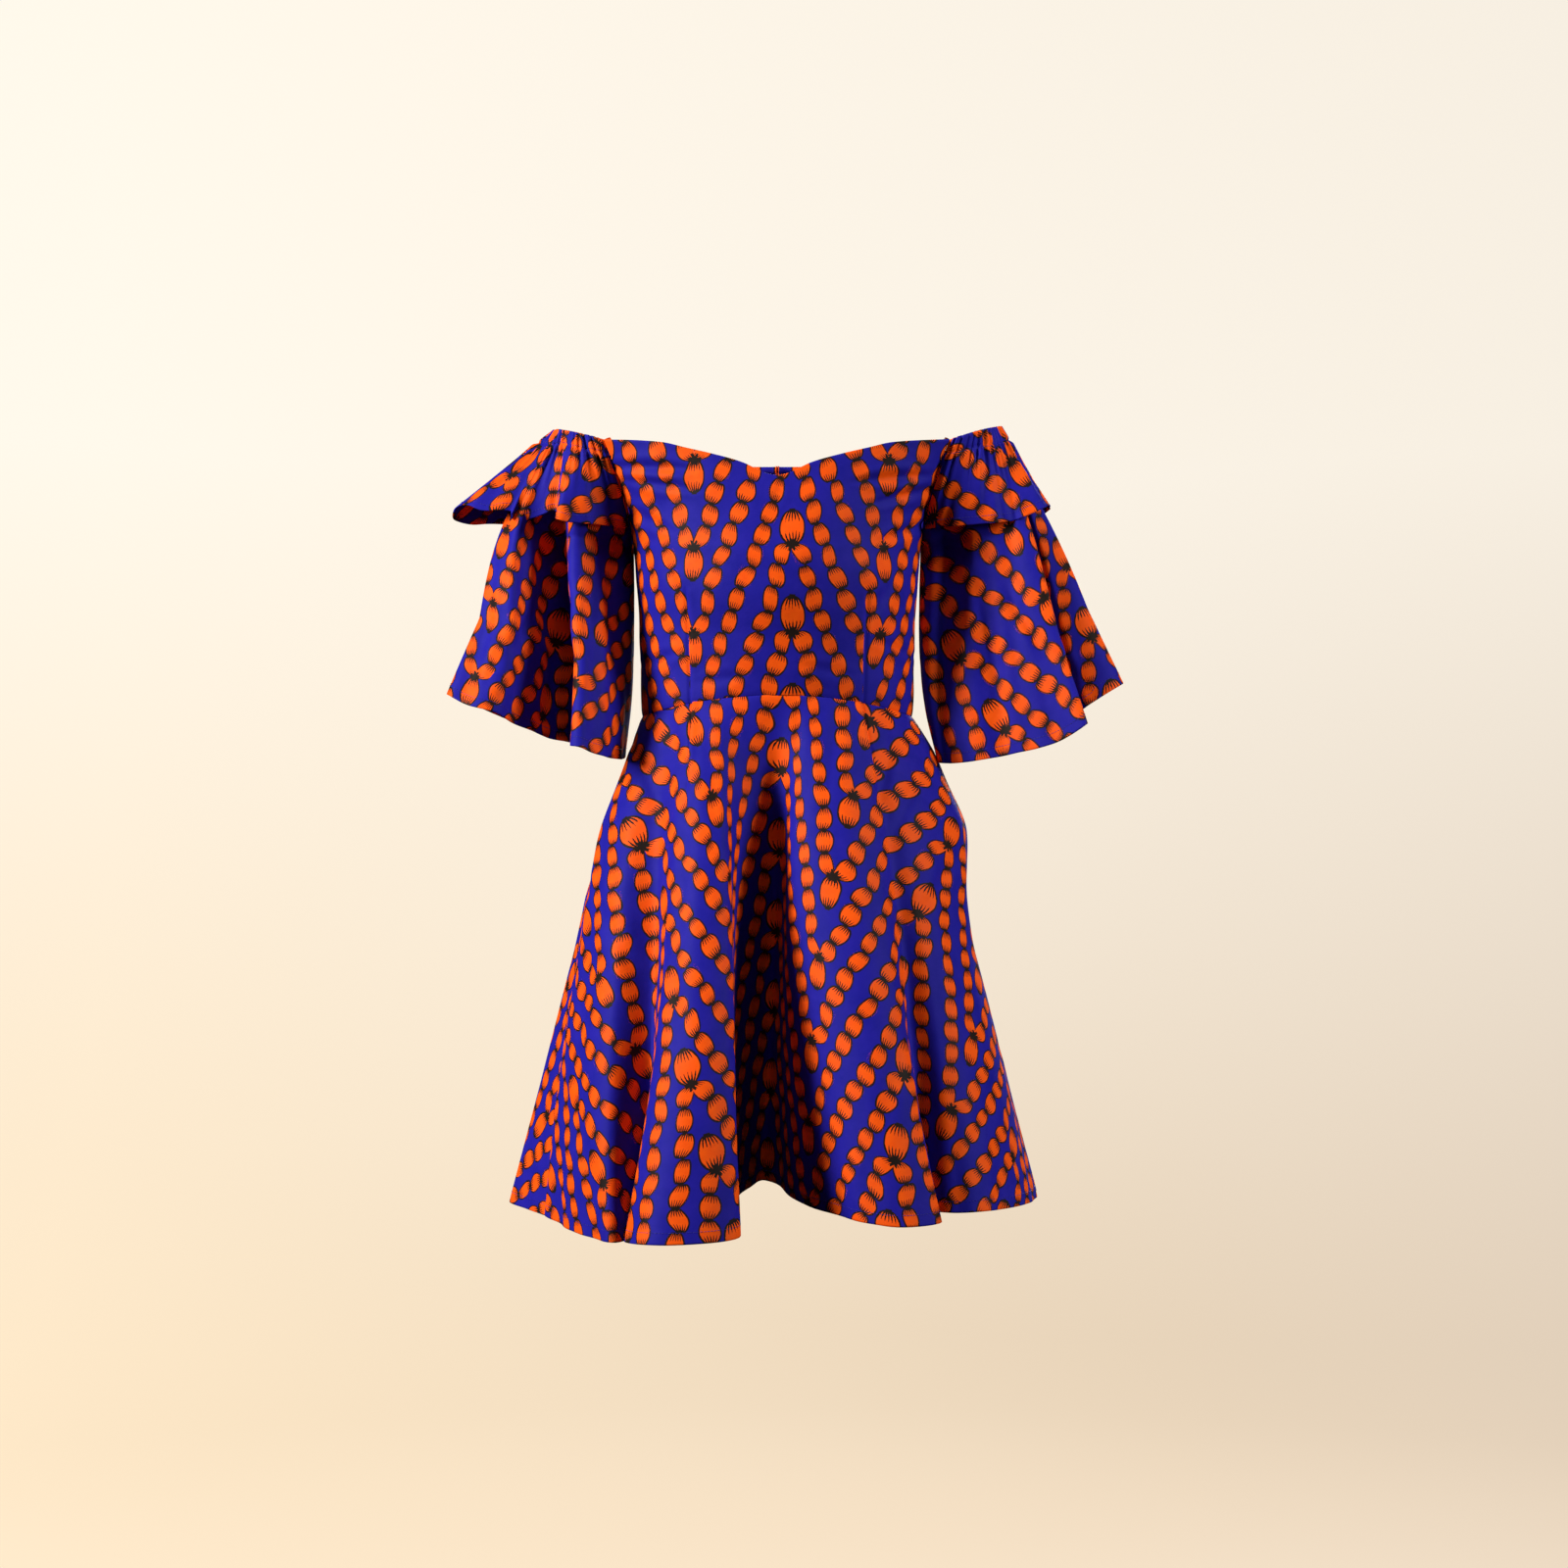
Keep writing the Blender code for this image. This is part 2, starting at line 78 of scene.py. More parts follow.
Section = namedtuple("Section", "z edge_x edge_y front back")
BODICE = [
    Section(-0.270, 0.1320, 0.000, 0.1000, 0.0880),
    Section(-0.200, 0.1340, 0.000, 0.1080, 0.0900),
    Section(-0.150, 0.1370, 0.000, 0.1170, 0.0940),
    Section(-0.108, 0.1400, 0.000, 0.1180, 0.0980),
    Section(-0.096, 0.1405, 0.017, 0.1165, 0.0980),
    Section(-0.080, 0.1420, 0.030, 0.1145, 0.0980),
    Section(-0.055, 0.1480, 0.046, 0.1110, 0.0985),
    Section(-0.028, 0.1570, 0.056, 0.1075, 0.0990),
    Section(-0.006, 0.1660, 0.0605, 0.1050, 0.1000),
]

Neck = namedtuple("Neck", "x z")
NECKLINE = [
    Neck(0.000, -0.0450),
    Neck(0.012, -0.0420),
    Neck(0.033, -0.0320),
    Neck(0.062, -0.0235),
    Neck(0.088, -0.0170),
    Neck(0.110, -0.0115),
    Neck(0.166, -0.0060),
]
BACK_NECK_DIP = 0.010

Turn = namedtuple("Turn", "flat round")
WAIST_TURN = [
    Turn(0.0, 0.0),
    Turn(12.0, 20.5),
    Turn(22.0, 36.5),
    Turn(24.0, 39.0),
    Turn(50.0, 90.0),
    Turn(75.0, 134.0),
    Turn(100.0, 180.0),
]

Fold = namedtuple("Fold", "flat mid_x mid_y hem_x hem_y hem_z")
FOLDS = [
    Fold(-104.0, 0.036, 0.157, 0.058, 0.222, -0.746),
    Fold(-100.0, 0.000, 0.151, 0.000, 0.214, -0.742),
    Fold(-95.0, -0.040, 0.157, -0.064, 0.223, -0.748),
    Fold(-90.0, -0.066, 0.140, -0.088, 0.172, -0.738),
    Fold(-83.0, -0.108, 0.158, -0.160, 0.212, -0.750),
    Fold(-76.0, -0.136, 0.112, -0.172, 0.132, -0.738),
    Fold(-69.0, -0.172, 0.110, -0.236, 0.158, -0.752),
    Fold(-63.0, -0.180, 0.060, -0.222, 0.078, -0.744),
    Fold(-57.0, -0.198, 0.012, -0.262, 0.014, -0.746),
    Fold(-50.0, -0.191, -0.036, -0.223, -0.060, -0.750),
    Fold(-42.0, -0.179, -0.086, -0.189, -0.128, -0.756),
    Fold(-36.0, -0.152, -0.125, -0.150, -0.175, -0.759),
    Fold(-31.0, -0.112, -0.122, -0.125, -0.130, -0.757),
    Fold(-25.0, -0.103, -0.166, -0.139, -0.205, -0.754),
    Fold(-20.0, -0.079, -0.186, -0.095, -0.245, -0.751),
    Fold(-15.5, -0.046, -0.179, -0.037, -0.225, -0.748),
    Fold(-11.0, -0.043, -0.138, -0.045, -0.165, -0.740),
    Fold(-5.5, -0.030, -0.098, -0.036, -0.095, -0.728),
    Fold(0.0, -0.002, -0.072, -0.012, -0.045, -0.718),
    Fold(7.5, 0.018, -0.132, 0.029, -0.140, -0.730),
    Fold(11.0, 0.040, -0.158, 0.066, -0.185, -0.735),
    Fold(15.5, 0.073, -0.170, 0.1075, -0.215, -0.739),
    Fold(19.5, 0.103, -0.160, 0.149, -0.195, -0.738),
    Fold(24.0, 0.116, -0.128, 0.135, -0.140, -0.734),
    Fold(29.0, 0.142, -0.126, 0.165, -0.165, -0.733),
    Fold(36.0, 0.172, -0.098, 0.210, -0.140, -0.733),
    Fold(43.0, 0.190, -0.048, 0.245, -0.070, -0.735),
    Fold(50.0, 0.191, 0.002, 0.2505, 0.000, -0.736),
    Fold(57.0, 0.195, 0.048, 0.2535, 0.074, -0.742),
    Fold(63.0, 0.182, 0.074, 0.214, 0.100, -0.734),
    Fold(70.0, 0.172, 0.120, 0.234, 0.170, -0.746),
    Fold(77.0, 0.134, 0.114, 0.174, 0.142, -0.735),
    Fold(84.0, 0.112, 0.162, 0.163, 0.214, -0.748),
    Fold(91.0, 0.068, 0.138, 0.092, 0.176, -0.738),
    Fold(96.0, 0.036, 0.157, 0.058, 0.222, -0.746),
    Fold(100.0, 0.000, 0.151, 0.000, 0.214, -0.742),
    Fold(105.0, -0.040, 0.157, -0.064, 0.223, -0.748),
]

Hip = namedtuple("Hip", "down right left")
HIPS = [
    Hip(0.00, 0.000, 0.000),
    Hip(0.07, 0.002, 0.012),
    Hip(0.14, 0.005, 0.018),
    Hip(0.23, 0.009, 0.025),
    Hip(0.31, 0.007, 0.016),
    Hip(0.39, 0.005, 0.006),
    Hip(0.50, 0.002, 0.000),
    Hip(1.00, 0.000, 0.000),
]

Seam = namedtuple("Seam", "z x")
UNDERARM_SEAM = {
    1: [Seam(-0.108, 0.1400), Seam(-0.150, 0.1388), Seam(-0.200, 0.1390), Seam(-0.260, 0.1450),
        Seam(-0.312, 0.1600)],
    -1: [Seam(-0.108, 0.1400), Seam(-0.150, 0.1395), Seam(-0.200, 0.1400), Seam(-0.260, 0.1430),
         Seam(-0.310, 0.1490)],
}

Hem = namedtuple("Hem", "turn x y z")
SLEEVE_HEM = {
    1: [
        Hem(0.00, 0.1600, 0.000, -0.312),
        Hem(0.07, 0.1560, -0.032, -0.316),
        Hem(0.15, 0.1860, -0.048, -0.314),
        Hem(0.23, 0.2260, -0.057, -0.307),
        Hem(0.31, 0.2650, -0.078, -0.297),
        Hem(0.37, 0.2935, -0.096, -0.279),
        Hem(0.43, 0.2790, -0.048, -0.277),
        Hem(0.49, 0.3005, -0.064, -0.259),
        Hem(0.55, 0.3352, -0.046, -0.238),
        Hem(0.63, 0.3100, 0.028, -0.253),
        Hem(0.70, 0.2660, 0.070, -0.280),
        Hem(0.78, 0.2420, 0.108, -0.288),
        Hem(0.86, 0.1980, 0.098, -0.302),
        Hem(0.94, 0.1620, 0.050, -0.312),
        Hem(1.00, 0.1600, 0.000, -0.312),
    ],
    -1: [
        Hem(0.00, 0.1490, 0.000, -0.310),
        Hem(0.06, 0.1500, -0.040, -0.312),
        Hem(0.13, 0.1640, -0.086, -0.309),
        Hem(0.19, 0.1890, -0.100, -0.301),
        Hem(0.25, 0.1985, -0.054, -0.298),
        Hem(0.32, 0.2140, -0.022, -0.293),
        Hem(0.38, 0.2460, -0.062, -0.280),
        Hem(0.43, 0.2700, -0.090, -0.268),
        Hem(0.49, 0.2926, -0.088, -0.261),
        Hem(0.56, 0.3157, -0.064, -0.250),
        Hem(0.64, 0.2920, 0.014, -0.261),
        Hem(0.71, 0.2500, 0.074, -0.280),
        Hem(0.79, 0.2240, 0.112, -0.290),
        Hem(0.87, 0.1800, 0.098, -0.302),
        Hem(0.94, 0.1530, 0.048, -0.309),
        Hem(1.00, 0.1490, 0.000, -0.310),
    ],
}

Frill = namedtuple("Frill", "turn down off")
FLOUNCES = {
    1: [
        Frill(0.00, 0.270, 0.001),
        Frill(0.10, 0.275, 0.002),
        Frill(0.20, 0.285, 0.013),
        Frill(0.30, 0.290, 0.010),
        Frill(0.40, 0.270, 0.022),
        Frill(0.46, 0.275, 0.020),
        Frill(0.51, 0.290, 0.004),
        Frill(0.57, 0.300, 0.010),
        Frill(0.67, 0.300, 0.020),
        Frill(0.77, 0.290, 0.006),
        Frill(0.88, 0.280, 0.014),
        Frill(1.00, 0.270, 0.001),
    ],
    -1: [
        Frill(0.00, 0.270, 0.001),
        Frill(0.10, 0.275, 0.003),
        Frill(0.19, 0.285, 0.024),
        Frill(0.27, 0.255, 0.006),
        Frill(0.34, 0.300, 0.026),
        Frill(0.41, 0.285, 0.014),
        Frill(0.46, 0.290, 0.036),
        Frill(0.51, 0.270, 0.052),
        Frill(0.57, 0.335, 0.050),
        Frill(0.64, 0.320, 0.026),
        Frill(0.73, 0.290, 0.010),
        Frill(0.85, 0.280, 0.020),
        Frill(1.00, 0.270, 0.001),
    ],
}

# ---------------------------------------------------------------- the cloth's own sizes
WALL = 0.0007  # thickness of one layer of cloth
SEAM_SHY = 0.0002  # each panel stops this short of its seam
TURNING = 0.007  # seam allowance turned to the inside
HEM_FOLD = 0.0011  # from the cloth to its turned-up hem, middle to middle
HEM_DEPTH = 0.011
FLOUNCE_START = 0.012
FLOUNCE_LIFT = 0.0022

DART_ACROSS = 0.434  # each waist dart, as a part of the way from the centre to the side
DART_TOP_Z = -0.150
DART_WIDTH = 0.022  # cloth that a dart takes in at the waist
TUCK_FLAT = 23.0  # degrees of flat circle from the centre front to a skirt tuck
TUCK_LENGTH = 0.050

GATHERS = 32  # over each shoulder
GATHER_DEPTH = 0.0027
GATHER_FADE = 0.024
CASING = 0.015  # depth of the elastic casing at the neckline over each shoulder

# The skirt, sleeves and flounces are cut as parts of a ring: its inner radius, and the piece's length.
# The skirt's length here is that of the cloth as it hangs, a little under the nominal SKIRT_LENGTH.
Cut = namedtuple("Cut", "top length")
SKIRT_CUT = Cut(0.230, 0.497)
SLEEVE_CUT = Cut(0.155, 0.307)
FLOUNCE_CUT = Cut(0.125, 0.093)

# How finely each piece is cut: columns round it and rows down it.
Grid = namedtuple("Grid", "columns rows")
BODICE_FRONT_GRID = Grid(170, 104)
BODICE_BACK_GRID = Grid(90, 104)
SKIRT_FRONT_GRID = Grid(176, 190)
SKIRT_BACK_GRID = Grid(88, 190)
SLEEVE_GRID = Grid(230, 102)
FLOUNCE_GRID = Grid(200, 50)
POCKET_GRID = Grid(36, 50)

STITCH_LENGTH = 0.0026
STITCH_GAP = 0.0006
STITCH_RADIUS = 0.00022
HEM_STITCH_UP = 0.010  # the top-stitching above each hem's edge
STITCH_LIFT = 0.00045
STITCH_SIDES = 4
# Along a stitch: the place in its length, its width, and its rise, as parts of its length and radius.
STITCH_PROFILE = [(0.0, 0.35, -0.6), (0.18, 1.0, 0.1), (0.5, 1.05, 0.45), (0.82, 1.0, 0.1), (1.0, 0.35, -0.6)]

# Print sizes, in millimetres: zigzag chains of beads.
HALF_PERIOD = 98.0  # from a column of peaks to the next column of valleys
CHAIN_PITCH = 82.0  # from a chain to the next one below it
RISES = 3  # chain pitches that a chain climbs from valley to peak
BEADS = 12  # in one straight run of chain
BEAD_HALF_WIDTH = (6.1, 2.5)  # the least, and how much more it may be
PEAK_BEAD = (11.4, 33.0)  # half width and length of the large bead on each peak
VALLEY_BEAD = (9.4, 31.0)
OUTLINE = 1.5
CHAIN_BEAD_END = 0.522  # where a bead's outline would close, as a part of its length from its middle
LARGE_BEAD_END = 0.510
RAYS = 3  # ink rays in half a bead's width
RAY_LONGEST = 0.03  # from RAY_START to a bead's end, the part of the way at which its longest rays begin
RAY_SPAN = 0.76  # how much further along that way the ink is whole
KNOT_RADIUS = 5.2  # the ink star where chains meet
KNOT_POINTS = 7.0
KNOT_SPIKE = 1.8
DRAWN_UNEVENLY = 5.0  # how far the hand-drawn lines wander
EDGE = 0.5  # softness of a printed edge
RAY_START = 0.14  # where the longest ink rays begin, from a bead's middle, as a part of its length
BEAD_TILT = 11.0  # how far a bead's two ends may stand apart across the chain
SPLAY = 6.0  # how far a chain bows out as it leaves a junction
SPLAY_AT = 13.0

BLUE = (0.0060, 0.0060, 0.2750)
BLUE_WORN = (0.0170, 0.0110, 0.3500)
ORANGE = (1.0000, 0.1200, 0.0012)
ORANGE_DEEP = (0.9300, 0.0750, 0.0010)
INK = (0.0120, 0.0060, 0.0040)
POCKETING = (0.0160, 0.0110, 0.2400)
ZIP_BLUE = (0.0100, 0.0080, 0.0900)
THREAD_BLUE = (0.0240, 0.0170, 0.2200)

# Where the print lies on each cut piece: a peak column and a row of junctions, in metres of flat cloth.
PrintAt = namedtuple("PrintAt", "x y seed")
PRINT_AT = {
    "bodice_front": PrintAt(0.016, -0.1107, 1.0),
    "bodice_back_left": PrintAt(0.060, -0.0900, 2.0),
    "bodice_back_right": PrintAt(-0.040, -0.0700, 3.0),
    "skirt_front": PrintAt(0.005, -0.3065, 4.0),
    "skirt_back_left": PrintAt(0.050, -0.3185, 5.0),
    "skirt_back_right": PrintAt(-0.050, -0.2885, 6.0),
    "sleeve_left": PrintAt(0.019, -0.2385, 7.0),
    "sleeve_right": PrintAt(-0.097, -0.2685, 8.0),
    "flounce_left": PrintAt(0.060, -0.1565, 9.0),
    "flounce_right": PrintAt(-0.020, -0.1765, 10.0),
}


# ---------------------------------------------------------------- curves through the tables
def smooth(rows, key, column, at):
    """The column's values where the key column is `at`, on a smooth curve through the rows."""
    keys = np.array([getattr(row, key) for row in rows], float)
    values = np.array([getattr(row, column) for row in rows], float)
    if keys[0] > keys[-1]:
        keys, values = keys[::-1], values[::-1]
    slopes = np.empty_like(values)
    slopes[1:-1] = (values[2:] - values[:-2]) / (keys[2:] - keys[:-2])
    slopes[0] = (values[1] - values[0]) / (keys[1] - keys[0])
    slopes[-1] = (values[-1] - values[-2]) / (keys[-1] - keys[-2])
    at = np.clip(at, keys[0], keys[-1])
    i = np.clip(np.searchsorted(keys, at, side="right") - 1, 0, len(keys) - 2)
    span = keys[i + 1] - keys[i]
    s = (at - keys[i]) / span
    return (
        values[i] * (1 + 2 * s) * (1 - s) ** 2
        + slopes[i] * span * s * (1 - s) ** 2
        + values[i + 1] * s * s * (3 - 2 * s)
        - slopes[i + 1] * span * s * s * (1 - s)
    )


def mix(first, second, part):
    return first + (second - first) * part


def step_between(low, high, at):
    """0 below low, 1 above high, smooth between."""
    part = np.clip((at - low) / (high - low), 0, 1)
    return part * part * (3 - 2 * part)


def vectors(x, y, z):
    return np.stack(np.broadcast_arrays(x, y, z), axis=-1)


def unit(field):
    return field / np.maximum(np.linalg.norm(field, axis=-1, keepdims=True), 1e-12)


# ---------------------------------------------------------------- the shape of each piece
def waist_z(angle):
    turned = np.radians(angle)
    middle = np.where(np.abs(angle) < 90, WAIST_FRONT_Z, WAIST_BACK_Z)
    return mix(WAIST_SIDE_Z, middle, np.cos(turned) ** 2)


def waist_point(angle):
    waist = BODICE[0]
    turned = np.radians(angle)
    depth = np.where(np.abs(angle) < 90, waist.front, waist.back)
    return vectors(waist.edge_x * np.sin(turned), -depth * np.cos(turned), waist_z(angle))


def bodice_point(edge_z, across, back):
    """Points of the bodice: across runs from -1 to 1, one armhole or side seam to the other."""
    edge_x = smooth(BODICE, "z", "edge_x", edge_z)
    edge_y = np.where(edge_z <= UNDERARM_Z, 0.0, smooth(BODICE, "z", "edge_y", edge_z))
    depth = smooth(BODICE, "z", "back" if back else "front", edge_z)
    widest = edge_x / np.sqrt(1 - (edge_y / depth) ** 2)
    edge_angle = np.arccos(edge_y / depth)
    angle = across * edge_angle
    x = widest * np.sin(angle)
    if back:
        top = SHOULDER_Z - BACK_NECK_DIP * np.cos(angle) ** 2
    else:
        top = smooth(NECKLINE, "x", "z", np.abs(x))
    round_body = np.degrees(angle)
    bottom = waist_z(180 - round_body if back else round_body)
    up = (edge_z - WAIST_SIDE_Z) / (SHOULDER_Z - WAIST_SIDE_Z)
    y = depth * np.cos(angle)
    return vectors(x, y if back else -y, mix(bottom, top, up))


def skirt_point(flat, down):
    """Points of the skirt: flat is the cut's angle from the centre front, down from waist 0 to hem 1."""
    turn = smooth(WAIST_TURN, "flat", "round", np.abs(flat))
    waist = waist_point(np.copysign(turn, flat))
    place = {key: smooth(FOLDS, "flat", key, flat) for key in Fold._fields[1:]}
    hem = vectors(place["hem_x"], place["hem_y"], place["hem_z"])
    middle = vectors(place["mid_x"], place["mid_y"], (waist[..., 2] + hem[..., 2]) / 2)
    d = down[..., None]
    point = waist * (1 - d) * (1 - 2 * d) + middle * 4 * d * (1 - d) + hem * d * (2 * d - 1)
    fullness = np.where(
        flat > 0, smooth(HIPS, "down", "left", down), smooth(HIPS, "down", "right", down)
    )
    fade = np.exp(-(((np.abs(flat) - SIDE_SEAM) / HIP_SPREAD) ** 2))
    point[..., 0] += np.copysign(fullness * fade, flat)
    return point


def sleeve_edge(side, z, back):
    in_armhole = z >= UNDERARM_Z
    x = np.where(in_armhole, smooth(BODICE, "z", "edge_x", z), smooth(UNDERARM_SEAM[side], "z", "x", z))
    y = np.where(z > UNDERARM_Z, smooth(BODICE, "z", "edge_y", z), 0.0)
    return vectors(x, np.where(back, y, -y), z)


def sleeve_point(side, turn, down):
    """Points of a sleeve made for the +X side: turn goes round it from the underarm seam by the front."""
    neck = BODICE[-1]
    round_arm = np.pi * turn
    top = vectors(
        neck.edge_x + (SLEEVE_OUT[side] - neck.edge_x) * np.sin(round_arm),
        -neck.edge_y * np.cos(round_arm),
        SHOULDER_Z + SLEEVE_RISE[side] * np.sin(round_arm),
    )
    rows = SLEEVE_HEM[side]
    hem = vectors(*(smooth(rows, "turn", key, turn) for key in "xyz"))
    point = mix(top, hem, down[..., None])
    point[..., 0] += SLEEVE_BULGE[side] * np.sin(round_arm) * np.sin(np.pi * np.minimum(down * 1.4, 1.0))
    back = turn >= 0.5
    edge_turn = np.where(back, 1.0, 0.0)
    corner_top = vectors(neck.edge_x, np.where(back, neck.edge_y, -neck.edge_y), SHOULDER_Z)
    corner_hem = np.array([rows[0].x, rows[0].y, rows[0].z])
    edge = sleeve_edge(side, mix(SHOULDER_Z, SLEEVE_END_Z[side], down), back)
    ease = np.maximum(1 - np.abs(turn - edge_turn) / SLEEVE_EASE, 0.0) ** 1.3
    return point + (edge - mix(corner_top, corner_hem, down[..., None])) * ease[..., None]


def flounce_point(side, turn, down):
    """Points of a flounce made for the +X side: the sleeve's own surface, moved out."""
    turn = mix(FLOUNCE_START, 1 - FLOUNCE_START, turn)
    reach = smooth(FLOUNCES[side], "turn", "down", turn) * down
    round_arm = np.pi * turn
    out = vectors(np.sin(round_arm), -np.cos(round_arm), 0.0)
    off = smooth(FLOUNCES[side], "turn", "off", turn) * down
    lift = FLOUNCE_LIFT * step_between(0.0, 0.06, np.minimum(turn, 1 - turn))
    return sleeve_point(side, turn, reach) + out * (lift + off)[..., None]


def pocket_point(side, across, down):
    mouth_top, mouth_end = POCKET_MOUTH
    flat = side * (SIDE_SEAM - 1.0 - across * POCKET_WIDTH)
    end = mix(mouth_end, POCKET_DEPTH, np.sin(np.pi * np.minimum(0.15 + across * 0.75, 1.0)) ** 0.5)
    place = mix(mouth_top - 0.06 * across, end, down)
    step = 0.5
    along = skirt_point(flat + step, place) - skirt_point(flat - step, place)
    inward = unit(vectors(-along[..., 1], along[..., 0], 0.0))
    return skirt_point(flat, place) + inward * POCKET_INSET


# ---------------------------------------------------------------- working the cloth
def outward(points, side=1):
    """The surface's normals; side turns them to the outside of the garment."""
    return side * unit(np.cross(np.gradient(points, axis=0), np.gradient(points, axis=1)))


def ripple(across, along, seed, waves):
    """A gentle unevenness, from a few crossed waves: (cycles across, cycles along, height)."""
    total = np.zeros_like(across)
    for number, (over, down, height) in enumerate(waves):
        phase = 2.39996 * (number + 1) * seed
        bend = 0.35 * np.sin(2 * np.pi * (0.6 * down * along + 0.3 * over * across) + 1.7 * phase)
        total += height * np.sin(2 * np.pi * (over * across + down * along) + phase + bend)
    return total


Crease = namedtuple("Crease", "x y heading length width depth")


def creased(x, y, creases):
    """Soft troughs, or ridges where depth is negative, each lying along its heading in degrees."""
    total = np.zeros_like(x)
    for crease in creases:
        turned = math.radians(crease.heading)
        along = (x - crease.x) * math.cos(turned) + (y - crease.y) * math.sin(turned)
        across = -(x - crease.x) * math.sin(turned) + (y - crease.y) * math.cos(turned)
        taper = np.clip(1 - np.abs(along / (crease.length / 2)) ** 2, 0, 1) ** 1.5
        narrowing = crease.width * (0.45 + 0.55 * taper)
        trough = np.exp(-((across / narrowing) ** 2))
        banks = 0.45 * np.exp(-(((np.abs(across) - 1.9 * narrowing) / narrowing) ** 2))
        total -= crease.depth * taper * (trough - banks)
    return total


def turned_in(points, cloth, normals, axis, end, depths):
    """Adds lines of points past one edge of the grid, bent to the inside: a seam's turning."""
    line, inner = (-1, -2) if end else (0, 1)
    edge, flat_edge, normal = (np.take(field, [line], axis=axis) for field in (points, cloth, normals))
    away = unit(edge - np.take(points, [inner], axis=axis))
    flat_away = flat_edge - np.take(cloth, [inner], axis=axis)
    flat_away = flat_away / np.maximum(np.linalg.norm(flat_away[..., :2], axis=-1, keepdims=True), 1e-9)
    new_points = [edge + away * out - normal * deep for out, deep in depths]
    new_cloth = [flat_edge + flat_away * deep for _, deep in depths]
    widened = []
    for field, extra in ((points, new_points), (cloth, new_cloth), (normals, [normal] * len(depths))):
        lines = [field] + extra if end else extra[::-1] + [field]
        widened.append(np.concatenate(lines, axis=axis))
    return widened


SEAM_ROLL = ((0.0001, 0.0006), (0.0001, 0.0020), (0.0000, 0.0045), (-0.0004, TURNING))
NECK_ROLL = ((0.0004, 0.0005), (0.0002, 0.0012), (-0.0025, 0.0014), (-0.0060, 0.0014))


def hemmed(points, cloth, normals, depth=HEM_DEPTH):
    """Turns up the last row of the grid to the inside, as a narrow hem."""
    spacing = np.linalg.norm(points[:, -1] - points[:, -2], axis=-1).mean()
    count = max(round(depth / spacing), 2)
    new_points = [points[:, -1:] - normals[:, -1:] * HEM_FOLD / 2]
    new_cloth = [cloth[:, -1:]]
    for back in range(1, count + 1):
        new_points.append(points[:, -1 - back][:, None] - normals[:, -1 - back][:, None] * HEM_FOLD)
        new_cloth.append(2 * cloth[:, -1:] - cloth[:, -1 - back][:, None])
    points = np.concatenate([points] + new_points, axis=1)
    cloth = np.concatenate([cloth] + new_cloth, axis=1)
    return points, cloth


def placed(name, points, faces, material=None):
    """A mesh object in the scene, from its points and faces."""
    mesh = bpy.data.meshes.new(name)
    mesh.from_pydata(points, [], faces)
    if material:
        mesh.materials.append(material)
    piece = bpy.data.objects.new(name, mesh)
    bpy.context.scene.collection.objects.link(piece)
    return piece


def shell(name, points, cloth, dart=None, outside=1):
    """A piece of cloth from its grid of points, carrying its place on the flat cloth."""
    columns, rows = points.shape[:2]
    index = np.arange(columns * rows).reshape(columns, rows)
    corners = [index[:-1, :-1], index[1:, :-1], index[1:, 1:], index[:-1, 1:]]
    if outside > 0:
        corners.reverse()
    faces = np.stack(corners, axis=-1).reshape(-1, 4)
    piece = placed(name, points.reshape(-1, 3).tolist(), faces.tolist())
    if dart is None:
        dart = np.zeros((columns, rows, 3))
    for title, field in (("cloth_m", cloth), ("dart_m", dart)):
        attribute = piece.data.attributes.new(title, "FLOAT_VECTOR", "POINT")
        attribute.data.foreach_set("vector", field.reshape(-1, 3).astype(np.float32).ravel())
    piece.data.shade_smooth()
    solid = piece.modifiers.new("Cloth", "SOLIDIFY")
    solid.thickness = WALL
    solid.offset = 0.0
    return piece


def relief(points, height, outside):
    """The surface moved out along its own normals by a height at each point."""
    return points + outward(points, outside) * height[..., None]


def spaced(count, fine, around=()):
    """Values from 0 to 1, evenly spaced, with closer ones beside both ends and around others."""
    values = list(np.linspace(0.0, 1.0, count))
    for offset in fine:
        values += [offset, 1 - offset]
        for middle in around:
            values += [middle - offset, middle, middle + offset]
    values = np.unique(np.round(values, 6))
    keep = [values[0]]
    for value in values[1:]:
        if value - keep[-1] > 0.25 * min(fine):
            keep.append(value)
    return np.array(keep)


def lattice(columns, rows):
    return np.meshgrid(columns, rows, indexing="ij")


def dipped(distance, depth=0.0007, reach=0.0030):
    """How far cloth is drawn in beside a seam, at each distance from it."""
    return -depth * np.exp(-((distance / reach) ** 2))


def print_place(flat, name):
    """Flat cloth places, measured from a peak of the print on that cut piece."""
    at = PRINT_AT[name]
    return vectors(flat[..., 0] - at.x, flat[..., 1] - at.y, at.seed)


